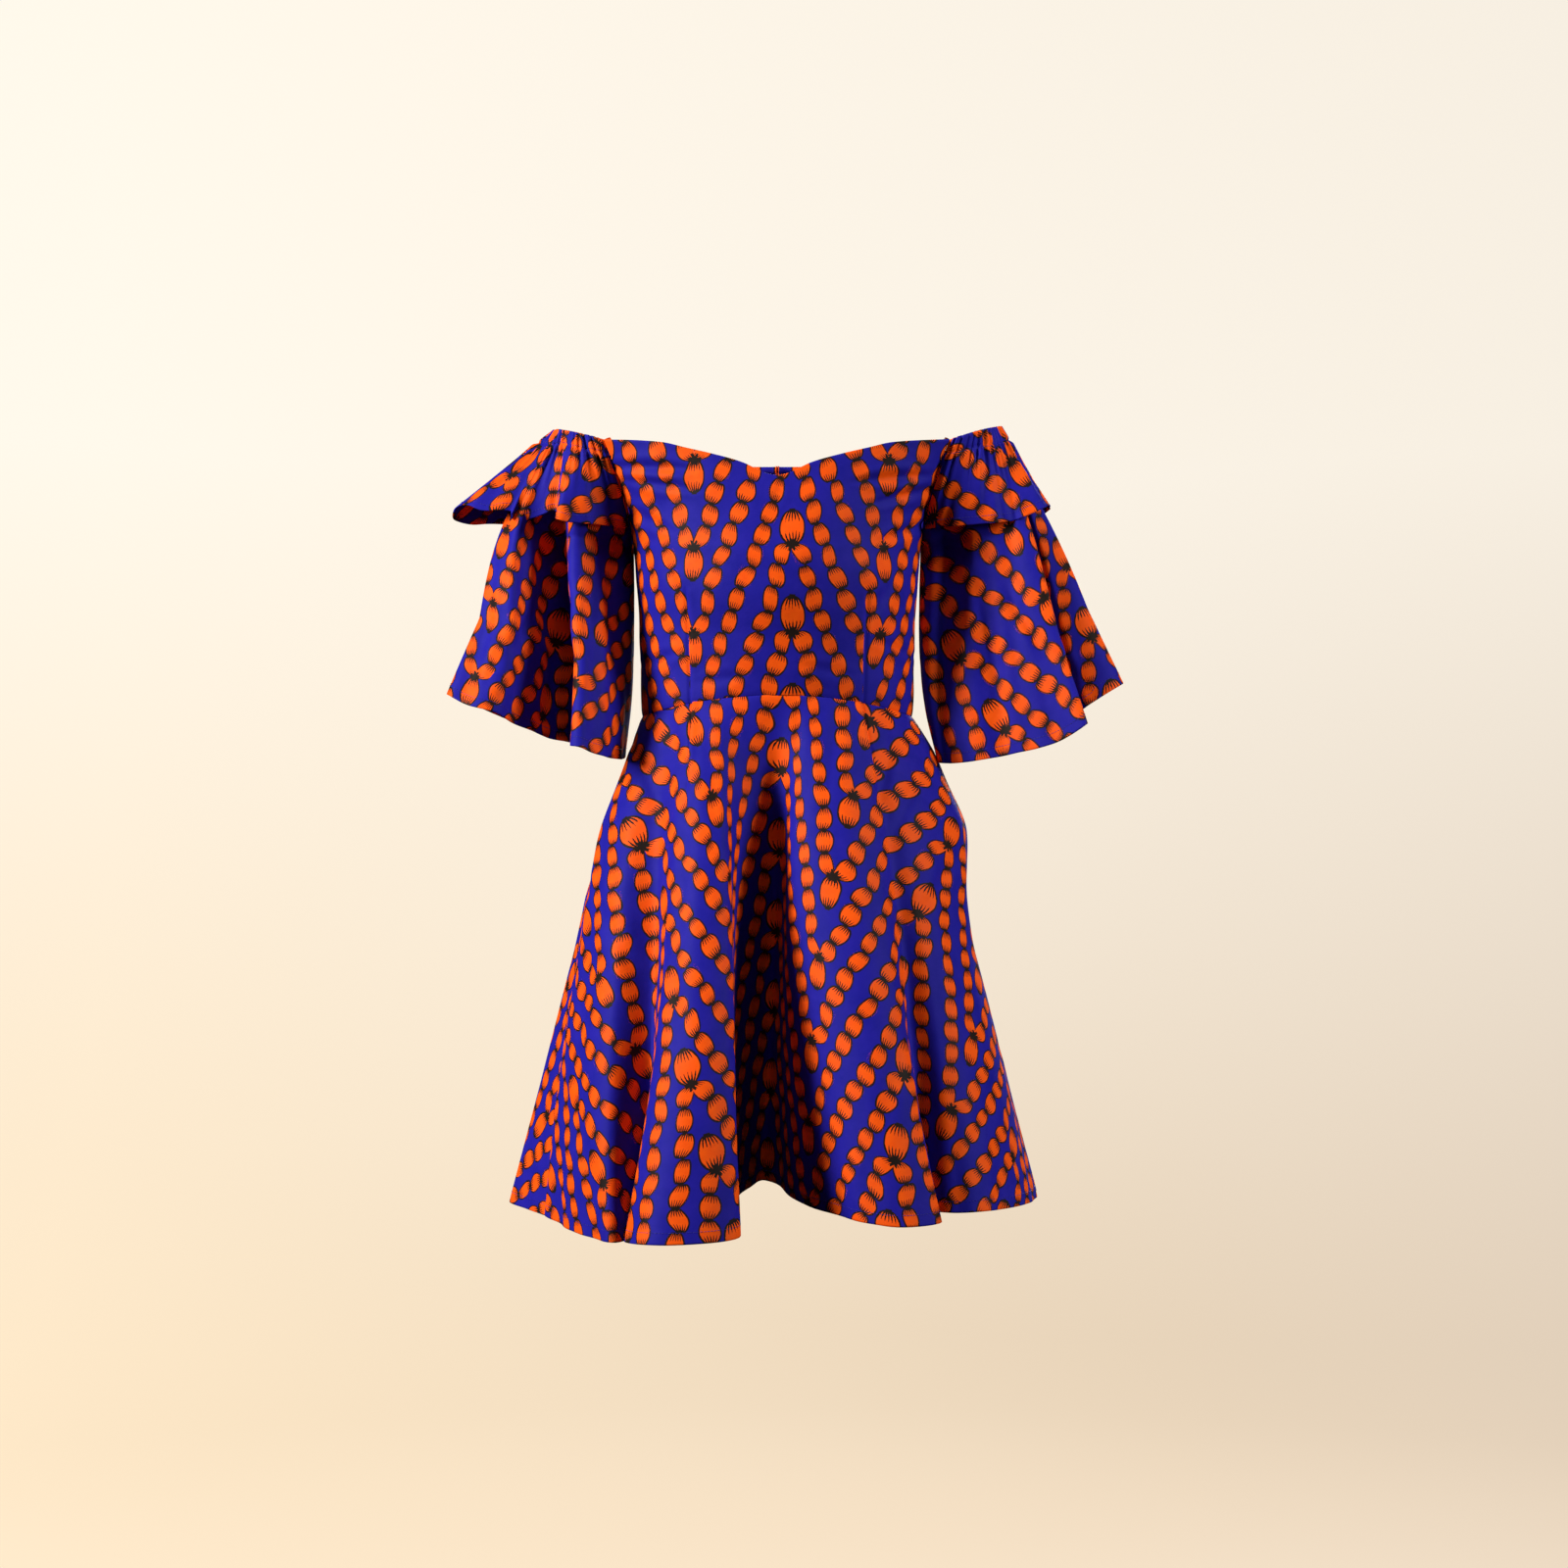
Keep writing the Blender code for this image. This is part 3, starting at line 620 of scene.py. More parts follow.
# ---------------------------------------------------------------- creases, placed one by one
# In the dress's own x and z for what faces the front, and the same for what faces the back.
BODICE_CREASES = [
    Crease(-0.120, -0.034, -5, 0.110, 0.0048, 0.0026),
    Crease(-0.112, -0.050, -12, 0.095, 0.0042, 0.0021),
    Crease(-0.128, -0.080, -28, 0.080, 0.0046, 0.0022),
    Crease(0.112, -0.044, 8, 0.095, 0.0046, 0.0028),
    Crease(0.122, -0.060, 18, 0.085, 0.0042, 0.0025),
    Crease(0.126, -0.092, 26, 0.075, 0.0044, 0.0026),
    Crease(0.002, -0.062, 84, 0.034, 0.0040, 0.0008),
    Crease(-0.052, -0.236, 8, 0.060, 0.0050, 0.0009),
    Crease(0.046, -0.228, -11, 0.066, 0.0052, 0.0009),
    Crease(-0.112, -0.215, 15, 0.055, 0.0046, 0.0012),
    Crease(0.114, -0.205, -18, 0.060, 0.0048, 0.0012),
    Crease(0.100, -0.160, 62, 0.050, 0.0044, 0.0010),
    Crease(-0.098, -0.142, -66, 0.050, 0.0046, 0.0009),
]
BACK_CREASES = [
    Crease(-0.060, -0.210, 9, 0.090, 0.0060, 0.0016),
    Crease(0.070, -0.222, -12, 0.080, 0.0055, 0.0014),
    Crease(-0.045, -0.160, -7, 0.070, 0.0060, 0.0012),
    Crease(0.052, -0.140, 10, 0.085, 0.0056, 0.0012),
    Crease(0.118, -0.070, 18, 0.070, 0.0046, 0.0013),
    Crease(-0.122, -0.082, -22, 0.066, 0.0050, 0.0014),
    Crease(0.030, -0.060, 82, 0.060, 0.0050, 0.0008),
]
SKIRT_CREASES = [
    Crease(-0.096, -0.300, -72, 0.110, 0.0060, 0.0016),
    Crease(-0.060, -0.330, -84, 0.130, 0.0070, 0.0013),
    Crease(0.052, -0.310, 83, 0.120, 0.0064, 0.0014),
    Crease(0.104, -0.320, 74, 0.130, 0.0060, 0.0018),
    Crease(0.128, -0.345, 66, 0.110, 0.0055, 0.0016),
    Crease(-0.124, -0.330, -64, 0.100, 0.0060, 0.0015),
    Crease(0.020, -0.292, 88, 0.070, 0.0050, 0.0010),
    Crease(0.156, -0.430, 58, 0.120, 0.0070, 0.0016),
    Crease(-0.158, -0.470, -60, 0.140, 0.0080, 0.0016),
    Crease(-0.088, -0.560, -80, 0.180, 0.0090, 0.0014),
    Crease(0.110, -0.600, 76, 0.170, 0.0085, 0.0015),
    Crease(0.198, -0.640, 64, 0.120, 0.0080, 0.0014),
    Crease(-0.190, -0.660, -66, 0.120, 0.0080, 0.0014),
]
SLEEVE_CREASES = [
    Crease(0.178, -0.160, -82, 0.120, 0.0060, 0.0018),
    Crease(0.204, -0.190, -74, 0.150, 0.0070, 0.0018),
    Crease(0.234, -0.170, -62, 0.120, 0.0060, 0.0016),
    Crease(0.262, -0.215, -58, 0.110, 0.0066, 0.0016),
    Crease(0.158, -0.230, 86, 0.110, 0.0060, 0.0014),
    Crease(0.220, -0.262, -70, 0.080, 0.0070, 0.0012),
    Crease(0.290, -0.235, -50, 0.080, 0.0060, 0.0012),
]

# The deepest falls of the sleeves, past what the tables give: (turn, how far round, how deep).
Fall = namedtuple("Fall", "turn reach depth")
SLEEVE_FALLS = {
    1: [Fall(0.11, 0.050, 0.010), Fall(0.26, 0.040, -0.003), Fall(0.33, 0.025, -0.004),
        Fall(0.44, 0.030, 0.006)],
    -1: [Fall(0.300, 0.045, 0.016), Fall(0.195, 0.028, -0.006), Fall(0.095, 0.030, 0.005),
         Fall(0.430, 0.025, -0.005)],
}


# ---------------------------------------------------------------- the pieces
def dart_relief(across, points, top_z, depth):
    """A waist dart: a sewn line that sinks in, and the soft fullness above its tip."""
    sewn = 1 - step_between(-0.006, 0.004, points[..., 2] - top_z)
    away = (np.abs(across) - DART_ACROSS) * 0.20
    line = -depth * np.exp(-((away / 0.0019) ** 2)) * sewn
    banks = 0.5 * depth * np.exp(-((np.abs(away) - 0.005) / 0.0035) ** 2) * sewn
    low = step_between(WAIST_FRONT_Z - 0.01, top_z, points[..., 2])
    tip = 0.0016 * np.exp(-((away / 0.012) ** 2) - ((points[..., 2] - top_z - 0.012) / 0.016) ** 2)
    return line + banks * low + tip


def bodice_cloth(points, across):
    """Flat places on a bodice piece: along its width from its centre, and by height."""
    steps = np.linalg.norm(np.diff(points, axis=0), axis=-1)
    along = np.concatenate([np.zeros((1, points.shape[1])), np.cumsum(steps, axis=0)])
    centre = np.argmin(np.abs(across[:, 0]))
    return vectors(along - along[centre], points[..., 2], 0.0)


def dart_place(flat, across, points, top_z):
    """How far each point lies past its dart, and the cloth the dart takes in there."""
    dart_column = np.argmin(np.abs(np.abs(across[:, 0]) - DART_ACROSS))
    line = np.abs(flat[dart_column, :, 0])[None, :]
    waist_part = 1 - step_between(WAIST_SIDE_Z, top_z, points[..., 2])
    taken = DART_WIDTH * waist_part * np.sign(across)
    return vectors(np.abs(flat[..., 0]) - line, taken, 0.0)


def make_bodice_front():
    fine = (0.004, 0.009, 0.016)
    columns = spaced(BODICE_FRONT_GRID.columns, fine, ((1 - DART_ACROSS) / 2, (1 + DART_ACROSS) / 2)) * 2 - 1
    rows = mix(SHOULDER_Z, WAIST_SIDE_Z, spaced(BODICE_FRONT_GRID.rows, (0.005, 0.012)))
    across, edge_z = lattice(columns, rows)
    points = bodice_point(edge_z, across, back=False)
    flat = bodice_cloth(points, across)
    dart = dart_place(flat, across, points, DART_TOP_Z)
    x, z = points[..., 0], points[..., 2]
    half = np.abs(flat[0, :, 0])[None, :]
    height = creased(x, z, BODICE_CREASES)
    height += dart_relief(across, points, DART_TOP_Z, 0.0013)
    height += dipped(half - np.abs(flat[..., 0])) + dipped(z - z[:, -1:], 0.0006)
    height += ripple(x / 0.1, z / 0.1, 1.3, ((0.7, 0.5, 0.0005), (1.7, -0.8, 0.0003), (0.4, 1.9, 0.0003)))
    points = relief(points, height, -1)
    return cloth_piece("bodice_front", points, flat, -1, dart=dart)


def make_bodice_back(side):
    name = "bodice_back_left" if side > 0 else "bodice_back_right"
    columns = spaced(BODICE_BACK_GRID.columns, (0.006, 0.014, 0.026), (DART_ACROSS,))
    columns = columns if side > 0 else -columns[::-1]
    rows = mix(SHOULDER_Z, WAIST_SIDE_Z, spaced(BODICE_BACK_GRID.rows, (0.005, 0.012)))
    across, edge_z = lattice(columns, rows)
    points = bodice_point(edge_z, across, back=True)
    points[..., 0] += side * SEAM_SHY * (1 - np.abs(across))
    flat = bodice_cloth(points, across)
    dart = dart_place(flat, across, points, DART_TOP_Z - 0.012)
    x, z = points[..., 0], points[..., 2]
    from_centre = np.abs(flat[..., 0])
    half = from_centre.max(axis=0)[None, :]
    height = creased(x, z, BACK_CREASES)
    height += dart_relief(across, points, DART_TOP_Z - 0.012, 0.0012)
    height += dipped(half - from_centre) + dipped(from_centre, 0.0008) + dipped(z - z[:, -1:], 0.0006)
    height += ripple(x / 0.1, z / 0.1, 2.1, ((0.8, 0.6, 0.0006), (1.5, -0.9, 0.0003)))
    points = relief(points, height, 1)
    return cloth_piece(name, points, flat, 1, dart=dart)


def skirt_relief(points, flat_angle, down):
    """Creases, the darts' continuing tucks, and uneven drape lines of the skirt."""
    x, z = points[..., 0], points[..., 2]
    height = creased(x, z, SKIRT_CREASES)
    from_waist = down * SKIRT_LENGTH
    for tuck in (-TUCK_FLAT, TUCK_FLAT):
        away = (flat_angle - tuck) * math.radians(1) * (SKIRT_WAIST_RADIUS + from_waist)
        fade = 1 - step_between(TUCK_LENGTH * 0.6, TUCK_LENGTH * 2.4, from_waist)
        outer = np.sign(tuck) * away
        ridge = 0.0022 * np.exp(-(((outer + 0.004) / 0.005) ** 2))
        groove = -0.0018 * np.exp(-(((outer - 0.0015) / 0.0022) ** 2))
        height += (ridge + groove) * fade
    drape = np.sin(math.pi * np.clip(down * 1.1, 0, 1)) * step_between(0.03, 0.3, down)
    height += drape * ripple(
        flat_angle / 20, down, 1.9, ((1.1, 0.5, 0.0016), (2.3, 0.3, 0.0009), (3.9, -0.4, 0.0005))
    )
    wobble = step_between(0.75, 1.0, down)
    height += wobble * ripple(flat_angle / 20, down, 0.7, ((2.9, 0.2, 0.0013), (5.3, 0.5, 0.0008)))
    return height


def own_angle(points, rows, radii, grain_column):
    """Each column's angle on the flat cut, from the cloth's own length along some of its rows."""
    angles = []
    for row, radius in zip(rows, radii):
        steps = np.linalg.norm(np.diff(points[:, row], axis=0), axis=-1)
        along = np.concatenate([[0.0], np.cumsum(steps)]) / radius
        angles.append(along - along[grain_column])
    return np.mean(angles, axis=0)[:, None]


def skirt_cloth(points, flat_angle, down, grain_angle):
    """Flat places on a skirt piece: a part of a ring, its grain along the given column."""
    rows = down.shape[1]
    grain_column = int(np.argmin(np.abs(flat_angle[:, 0] - grain_angle)))
    measured_rows = [int(rows * part) for part in (0.45, 0.7, 0.98)]
    radii = [SKIRT_CUT.top + down[0, row] * SKIRT_CUT.length for row in measured_rows]
    turned = own_angle(points, measured_rows, radii, grain_column)
    radius = SKIRT_CUT.top + down * SKIRT_CUT.length
    return vectors(radius * np.sin(turned), -radius * np.cos(turned), 0.0)


def make_skirt(name, start, end, grain_angle, cut):
    fine = np.array((0.12, 0.3, 0.6, 1.0)) / abs(end - start)
    tucks = [(tuck - start) / (end - start) for tuck in (-TUCK_FLAT, TUCK_FLAT) if start < tuck < end]
    columns = mix(start, end, spaced(cut.columns, tuple(fine), tuple(tucks)))
    flat_angle, down = lattice(columns, spaced(cut.rows, (0.003, 0.008)))
    points = skirt_point(flat_angle, down)
    radius = SKIRT_WAIST_RADIUS + down * SKIRT_LENGTH
    height = skirt_relief(points, flat_angle, down)
    from_side = np.minimum(flat_angle - start, end - flat_angle) * math.radians(1) * radius
    height += dipped(from_side, 0.0008) + dipped(down * SKIRT_LENGTH, 0.0006)
    points = relief(points, height, -1)
    flat = skirt_cloth(points, flat_angle, down, grain_angle)
    return cloth_piece(name, points, flat, -1, hem=True)


def sector(cut, points, turn, down):
    """Flat places on a sleeve or flounce: a part of a ring, its grain down its outer side."""
    rows = [int(turn.shape[1] * part) for part in (0.6, 0.8, 0.98)]
    radii = [cut.top + down[0, row] * cut.length for row in rows]
    turned = own_angle(points, rows, radii, int(np.argmin(np.abs(turn[:, 0] - 0.5))))
    radius = cut.top + down * cut.length
    return vectors(radius * np.sin(turned), -radius * np.cos(turned), 0.0)


def gathered(side, turn, drop):
    """The gathers over a shoulder: small pleats in the casing, longer uneven ones falling from it."""
    seed = 0.4 if side > 0 else 1.9
    uneven = turn + 0.010 * np.sin(2 * np.pi * 3 * turn + seed) + 0.006 * np.sin(2 * np.pi * 7 * turn - seed)
    wave = 2 * np.pi * GATHERS * uneven
    pleat = np.cos(wave) + 0.35 * np.cos(2 * wave + 0.8)
    strength = 0.75 + 0.35 * np.sin(2 * np.pi * 5.3 * turn + 2 * seed)
    reach = GATHER_FADE * (0.8 + 0.45 * np.sin(2 * np.pi * 4.1 * turn + seed) ** 2)
    below = np.clip(drop - CASING, 0, None)
    half_wave = np.cos(wave / 2 + 0.6 + seed)
    fall = np.exp(-below / reach)
    sewn = np.exp(-(((drop - CASING) / 0.0016) ** 2))
    ends = step_between(0.0, 0.05, np.minimum(turn, 1 - turn))
    casing = 0.55 * (1 - step_between(CASING - 0.002, CASING + 0.002, drop))
    falling = step_between(CASING - 0.001, CASING + 0.006, drop) * fall
    pleats = pleat * (casing + falling) + 0.8 * half_wave * falling * (1 - fall)
    return (GATHER_DEPTH * strength * pleats - 0.0012 * sewn) * ends


def make_sleeve(side):
    name = "sleeve_left" if side > 0 else "sleeve_right"
    turns = spaced(SLEEVE_GRID.columns, (0.0015, 0.004, 0.008))
    turn, down = lattice(turns, spaced(SLEEVE_GRID.rows, (0.004, 0.010)))
    points = sleeve_point(side, turn, down)
    drop = down * SLEEVE_CUT.length
    x, z = points[..., 0], points[..., 2]
    front = 1 - step_between(0.46, 0.54, turn)
    height = creased(x, z, SLEEVE_CREASES) * front
    height += creased(x + 0.012, z + 0.010, SLEEVE_CREASES) * (1 - front)
    for fall in SLEEVE_FALLS[side]:
        hung = step_between(0.08, 0.40, down) * (1 - 0.35 * step_between(0.7, 1.0, down))
        height -= fall.depth * hung * np.exp(-(((turn - fall.turn) / fall.reach) ** 2))
    height += gathered(side, turn, drop)
    edge_gap = np.minimum(turn, 1 - turn) * np.pi * (SLEEVE_CUT.top + drop)
    height += dipped(edge_gap, 0.0007)
    loose = step_between(0.25, 0.8, down) * step_between(0.0, 0.06, np.minimum(turn, 1 - turn))
    seed = 1.1 if side > 0 else 2.3
    height += loose * ripple(turn * 4, down, seed, ((2.1, 0.6, 0.0013), (4.3, 0.3, 0.0008)))
    points = relief(points, height, -1)
    flat = sector(SLEEVE_CUT, points, turn, down)
    return cloth_piece(name, points, flat, -1, hem=True, mirrored=side)


def make_flounce(side):
    name = "flounce_left" if side > 0 else "flounce_right"
    turns = spaced(FLOUNCE_GRID.columns, (0.002, 0.005, 0.010))
    turn, down = lattice(turns, spaced(FLOUNCE_GRID.rows, (0.01, 0.025)))
    points = flounce_point(side, turn, down)
    drop = down * FLOUNCE_CUT.length
    height = gathered(side, mix(FLOUNCE_START, 1 - FLOUNCE_START, turn), drop)
    edge_gap = np.minimum(turn, 1 - turn) * np.pi * 0.15
    height += dipped(edge_gap, 0.0006)
    loose = step_between(0.4, 1.0, down) * step_between(0.04, 0.14, np.minimum(turn, 1 - turn))
    seed = 0.9 if side > 0 else 1.7
    height += loose * ripple(turn * 4, down, seed, ((2.7, 0.5, 0.0014), (5.1, 0.2, 0.0009)))
    points = relief(points, height, -1)
    flat = sector(FLOUNCE_CUT, points, turn, down)
    return cloth_piece(name, points, flat, -1, hem=True, mirrored=side)


def pocket_piece(side):
    name = "pocket_left" if side > 0 else "pocket_right"
    across, down = lattice(*(np.linspace(0, 1, count) for count in POCKET_GRID))
    points = pocket_point(side, across, down)
    height = ripple(across, down, 1.4, ((1.2, 0.8, 0.0009), (2.1, 1.7, 0.0005)))
    points = relief(points, height, -1)
    radius = SKIRT_WAIST_RADIUS + down * SKIRT_LENGTH
    flat = vectors(across * math.radians(POCKET_WIDTH) * radius, -radius, 0.0)
    piece = shell(name + "_cloth", points, flat)
    return finish_cloth(piece, name, pocketing_material())


# ---------------------------------------------------------------- edges, hems and how pieces are finished
surfaces = {}  # each piece's outer points and normals, before its edges are turned


def cloth_piece(name, points, flat, outside, hem=False, dart=None, mirrored=1):
    """A printed piece with its seam turnings and hem, as one shell."""
    place = print_place(flat, name)
    normals = outward(points, outside)
    mirror = np.array([mirrored, 1.0, 1.0])
    surfaces[name] = (points * mirror, normals * mirror)
    if hem:
        points, place = hemmed(points, place, normals)
        extra = points.shape[1] - normals.shape[1]
        normals = np.concatenate([normals] + [normals[:, -1:]] * extra, axis=1)
    else:
        points, place, normals = turned_in(points, place, normals, 1, True, SEAM_ROLL)
    points, place, normals = turned_in(points, place, normals, 1, False, NECK_ROLL)
    points, place, normals = turned_in(points, place, normals, 0, True, SEAM_ROLL)
    points, place, normals = turned_in(points, place, normals, 0, False, SEAM_ROLL)
    if dart is not None:
        side, top, bottom = len(SEAM_ROLL), len(NECK_ROLL), len(SEAM_ROLL)
        dart = np.pad(dart, ((side, side), (top, bottom), (0, 0)), mode="edge")
    piece = shell(name + "_cloth", points * mirror, place, dart, -outside * mirrored)
    return finish_cloth(piece, name, wax_print_material())


def finish_cloth(piece, node, material):
    piece.data.materials.append(material)
    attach(piece, "root")
    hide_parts(node)
    return piece


def stitches(name, line, normals, material):
    """Top-stitching: one short thread after another along a line of points, as one mesh."""
    steps = np.linalg.norm(np.diff(line, axis=0), axis=-1)
    along = np.concatenate([[0.0], np.cumsum(steps)])
    pitch = STITCH_LENGTH + STITCH_GAP
    starts = np.arange(pitch, along[-1] - pitch, pitch)
    sides = STITCH_SIDES
    points, faces = [], []
    for start in starts:
        base = len(points)
        for part, wide, up in STITCH_PROFILE:
            at = start + part * STITCH_LENGTH
            middle = np.array([np.interp(at, along, line[:, axis]) for axis in range(3)])
            ahead = np.array([np.interp(at + 0.0004, along, line[:, axis]) for axis in range(3)]) - middle
            normal = np.array([np.interp(at, along, normals[:, axis]) for axis in range(3)])
            beside = np.cross(ahead, normal)
            beside /= max(np.linalg.norm(beside), 1e-12)
            middle = middle + normal * (STITCH_LIFT + up * STITCH_RADIUS)
            for corner in range(sides):
                turned = 2 * math.pi * corner / sides
                round_thread = beside * math.cos(turned) + normal * math.sin(turned)
                points.append(tuple(middle + round_thread * STITCH_RADIUS * wide))
        last = len(STITCH_PROFILE) - 1
        for ring in range(last):
            for corner in range(sides):
                a = base + ring * sides + corner
                b = base + ring * sides + (corner + 1) % sides
                faces.append((a, b, b + sides, a + sides))
        faces.append(tuple(base + corner for corner in reversed(range(sides))))
        faces.append(tuple(base + last * sides + corner for corner in range(sides)))
    thread = placed(name, points, faces, material)
    thread.data.shade_smooth()
    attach(thread, "root")
    return thread


def hem_thread(name, up):
    """The thread along a piece's hem, this far above its edge, outside and facing out."""
    points, normals = surfaces[name]
    columns = points.shape[0]
    line, facing = [], []
    for column in range(columns):
        path = points[column]
        steps = np.linalg.norm(np.diff(path, axis=0), axis=-1)
        from_edge = np.concatenate([np.cumsum(steps[::-1])[::-1], [0.0]])
        row = int(np.argmin(np.abs(from_edge - up)))
        line.append(path[row])
        facing.append(normals[column, row])
    return stitches(name + "_hem_thread", np.array(line), np.array(facing), thread_material())


def casing_thread(name):
    points, normals = surfaces[name]
    from_top = np.cumsum(np.linalg.norm(np.diff(points[points.shape[0] // 2], axis=0), axis=-1))
    row = int(np.searchsorted(from_top, CASING)) + 1
    return stitches(
        name + "_casing_thread", points[:, row], normals[:, row], thread_material()
    )


# ---------------------------------------------------------------- node patterns, written as arithmetic
class Value:
    """A number carried by a node socket, so that a pattern reads as plain arithmetic."""

    def __init__(self, tree, socket):
        self.tree = tree
        self.socket = socket

    def made(self, operation, *others, clamp=False):
        node = self.tree.nodes.new("ShaderNodeMath")
        node.operation = operation
        node.use_clamp = clamp
        for socket, value in zip(node.inputs, (self,) + others):
            plug(self.tree, socket, value)
        return Value(self.tree, node.outputs[0])

    def __add__(self, other):
        return self.made("ADD", other)

    def __radd__(self, other):
        return self.made("ADD", other)

    def __sub__(self, other):
        return self.made("SUBTRACT", other)

    def __rsub__(self, other):
        return self.made("MULTIPLY", -1.0).made("ADD", other)

    def __mul__(self, other):
        return self.made("MULTIPLY", other)

    def __rmul__(self, other):
        return self.made("MULTIPLY", other)

    def __truediv__(self, other):
        return self.made("DIVIDE", other)

    def least(self, other):
        return self.made("MINIMUM", other)

    def most(self, other):
        return self.made("MAXIMUM", other)

    def size(self):
        return self.made("ABSOLUTE")

    def within(self, soft):
        """1 where this distance is below zero, 0 above, with an edge this soft."""
        return self.made("MULTIPLY_ADD", -1.0 / soft, 0.5, clamp=True)


def plug(tree, socket, value):
    if isinstance(value, Value):
        tree.links.new(value.socket, socket)
    else:
        socket.default_value = value


def named_vector(tree, name):
    """The x, y and z of a named attribute on the cloth."""
    read = tree.nodes.new("ShaderNodeAttribute")
    read.attribute_name = name
    split = tree.nodes.new("ShaderNodeSeparateXYZ")
    tree.links.new(read.outputs["Vector"], split.inputs[0])
    return read.outputs["Vector"], [Value(tree, split.outputs[axis]) for axis in range(3)]


def joined(tree, x, y, z=0.0):
    node = tree.nodes.new("ShaderNodeCombineXYZ")
    for socket, value in zip(node.inputs, (x, y, z)):
        plug(tree, socket, value)
    return node.outputs[0]


def noise(tree, vector, scale, detail=3.0, rough=0.55):
    node = tree.nodes.new("ShaderNodeTexNoise")
    node.inputs["Scale"].default_value = scale
    node.inputs["Detail"].default_value = detail
    node.inputs["Roughness"].default_value = rough
    tree.links.new(vector, node.inputs["Vector"])
    return Value(tree, node.outputs[0])


def chance(tree, vector):
    node = tree.nodes.new("ShaderNodeTexWhiteNoise")
    node.noise_dimensions = "3D"
    tree.links.new(vector, node.inputs["Vector"])
    return Value(tree, node.outputs["Value"])


def blended(tree, part, first, second):
    """Between two colours; each is three numbers or a socket."""
    node = tree.nodes.new("ShaderNodeMix")
    node.data_type = "RGBA"
    plug(tree, node.inputs[0], part)
    for socket, colour in ((node.inputs[6], first), (node.inputs[7], second)):
        if isinstance(colour, tuple):
            socket.default_value = (*colour, 1.0)
        else:
            tree.links.new(colour, socket)
    return node.outputs[2]


def bead(across, place, half_width, ending, uneven):
    """A bead's edge distance, and its ink: rays from both ends. Place runs from -0.5 to 0.5."""
    fullness = (1.0 - (place / ending) * (place / ending)).most(0.02).made("SQRT")
    width = fullness * half_width
    edge = across.size() - width
    ratio = across / width
    lobes = (ratio * (math.pi * RAYS)).made("SINE").size().made("POWER", 1.5)
    reach = (place.size() - RAY_START) / (0.5 - RAY_START) + uneven
    rays = (RAY_LONGEST + lobes * RAY_SPAN - reach).within(0.08)
    return edge, rays


def print_parts(tree, x, y, seed):
    """Masks of the wax print: the beads' orange, and the ink of their outlines, rays and knots."""
    climb = CHAIN_PITCH * RISES
    run = math.hypot(HALF_PERIOD, climb)
    column = x.made("PINGPONG", HALF_PERIOD)
    row = y + column * (climb / HALF_PERIOD)
    chain = (row / CHAIN_PITCH).made("ROUND")
    rise = row - chain * CHAIN_PITCH
    across = rise * (HALF_PERIOD / run)
    along = column * (run / HALF_PERIOD) - rise * (climb / run)
    from_peak = along.most(0.0) / SPLAY_AT
    from_valley = (run - along).most(0.0) / SPLAY_AT
    bow = from_peak * (1.0 - from_peak).made("EXPONENT") - from_valley * (1.0 - from_valley).made("EXPONENT")
    across = across - bow * SPLAY
    pitch = run / BEADS
    number = (along / pitch).made("FLOOR")
    place = along / pitch - number - 0.5
    arm = (x / HALF_PERIOD).made("FLOOR")
    luck = chance(tree, joined(tree, number, chain, arm * 3.7 + seed * 11.0))
    least, more = BEAD_HALF_WIDTH
    uneven = (noise(tree, joined(tree, x, y, seed + 9.0), 0.45, 1.0) - 0.5) * 0.5
    wobble = (chance(tree, joined(tree, number + 40.0, chain, arm + seed * 5.0)) - 0.5) * 2.0
    tilt = (chance(tree, joined(tree, number + 80.0, chain, arm + seed * 7.0)) - 0.5) * BEAD_TILT
    edge, rays = bead(across + wobble + place * tilt, place, luck * more + least, CHAIN_BEAD_END, uneven)
    outside_run = (along * -1.0).most(along - run)
    edge = edge.most(outside_run)
    step = (y / CHAIN_PITCH).made("FRACT") * CHAIN_PITCH
    peak_place = step / PEAK_BEAD[1] - 0.52
    peak_edge, peak_rays = bead(column, peak_place, PEAK_BEAD[0], LARGE_BEAD_END, uneven)
    below = CHAIN_PITCH - step
    to_valley = HALF_PERIOD - column
    valley_place = below / VALLEY_BEAD[1] - 0.52
    valley_edge, valley_rays = bead(to_valley, valley_place, VALLEY_BEAD[0], LARGE_BEAD_END, uneven)
    peak_edge = peak_edge.most(step - PEAK_BEAD[1] * 1.02)
    valley_edge = valley_edge.most(below - VALLEY_BEAD[1] * 1.02)
    nearest = step.least(below)
    sideways = column.least(to_valley)
    knot = (nearest * nearest + sideways * sideways).made("SQRT") - KNOT_RADIUS
    turned = nearest.made("ARCTAN2", sideways)
    knot = (knot - (turned * KNOT_POINTS).made("SINE") * KNOT_SPIKE).within(EDGE)
    orange = edge.within(EDGE) * (1.0 - rays)
    orange = orange.most(peak_edge.within(EDGE) * (1.0 - peak_rays))
    orange = orange.most(valley_edge.within(EDGE) * (1.0 - valley_rays))
    dark = (edge.least(peak_edge).least(valley_edge) - OUTLINE).within(EDGE)
    return orange * (1.0 - knot), dark.most(knot)


materials_made = {}


def once(make):
    """Each material is made the first time it is asked for, then shared."""

    def shared():
        if make.__name__ not in materials_made:
            materials_made[make.__name__] = make()
        return materials_made[make.__name__]

    return shared


def new_material(name):
    material = bpy.data.materials.new(name)
    material.use_nodes = True
    return material, material.node_tree, material.node_tree.nodes["Principled BSDF"]


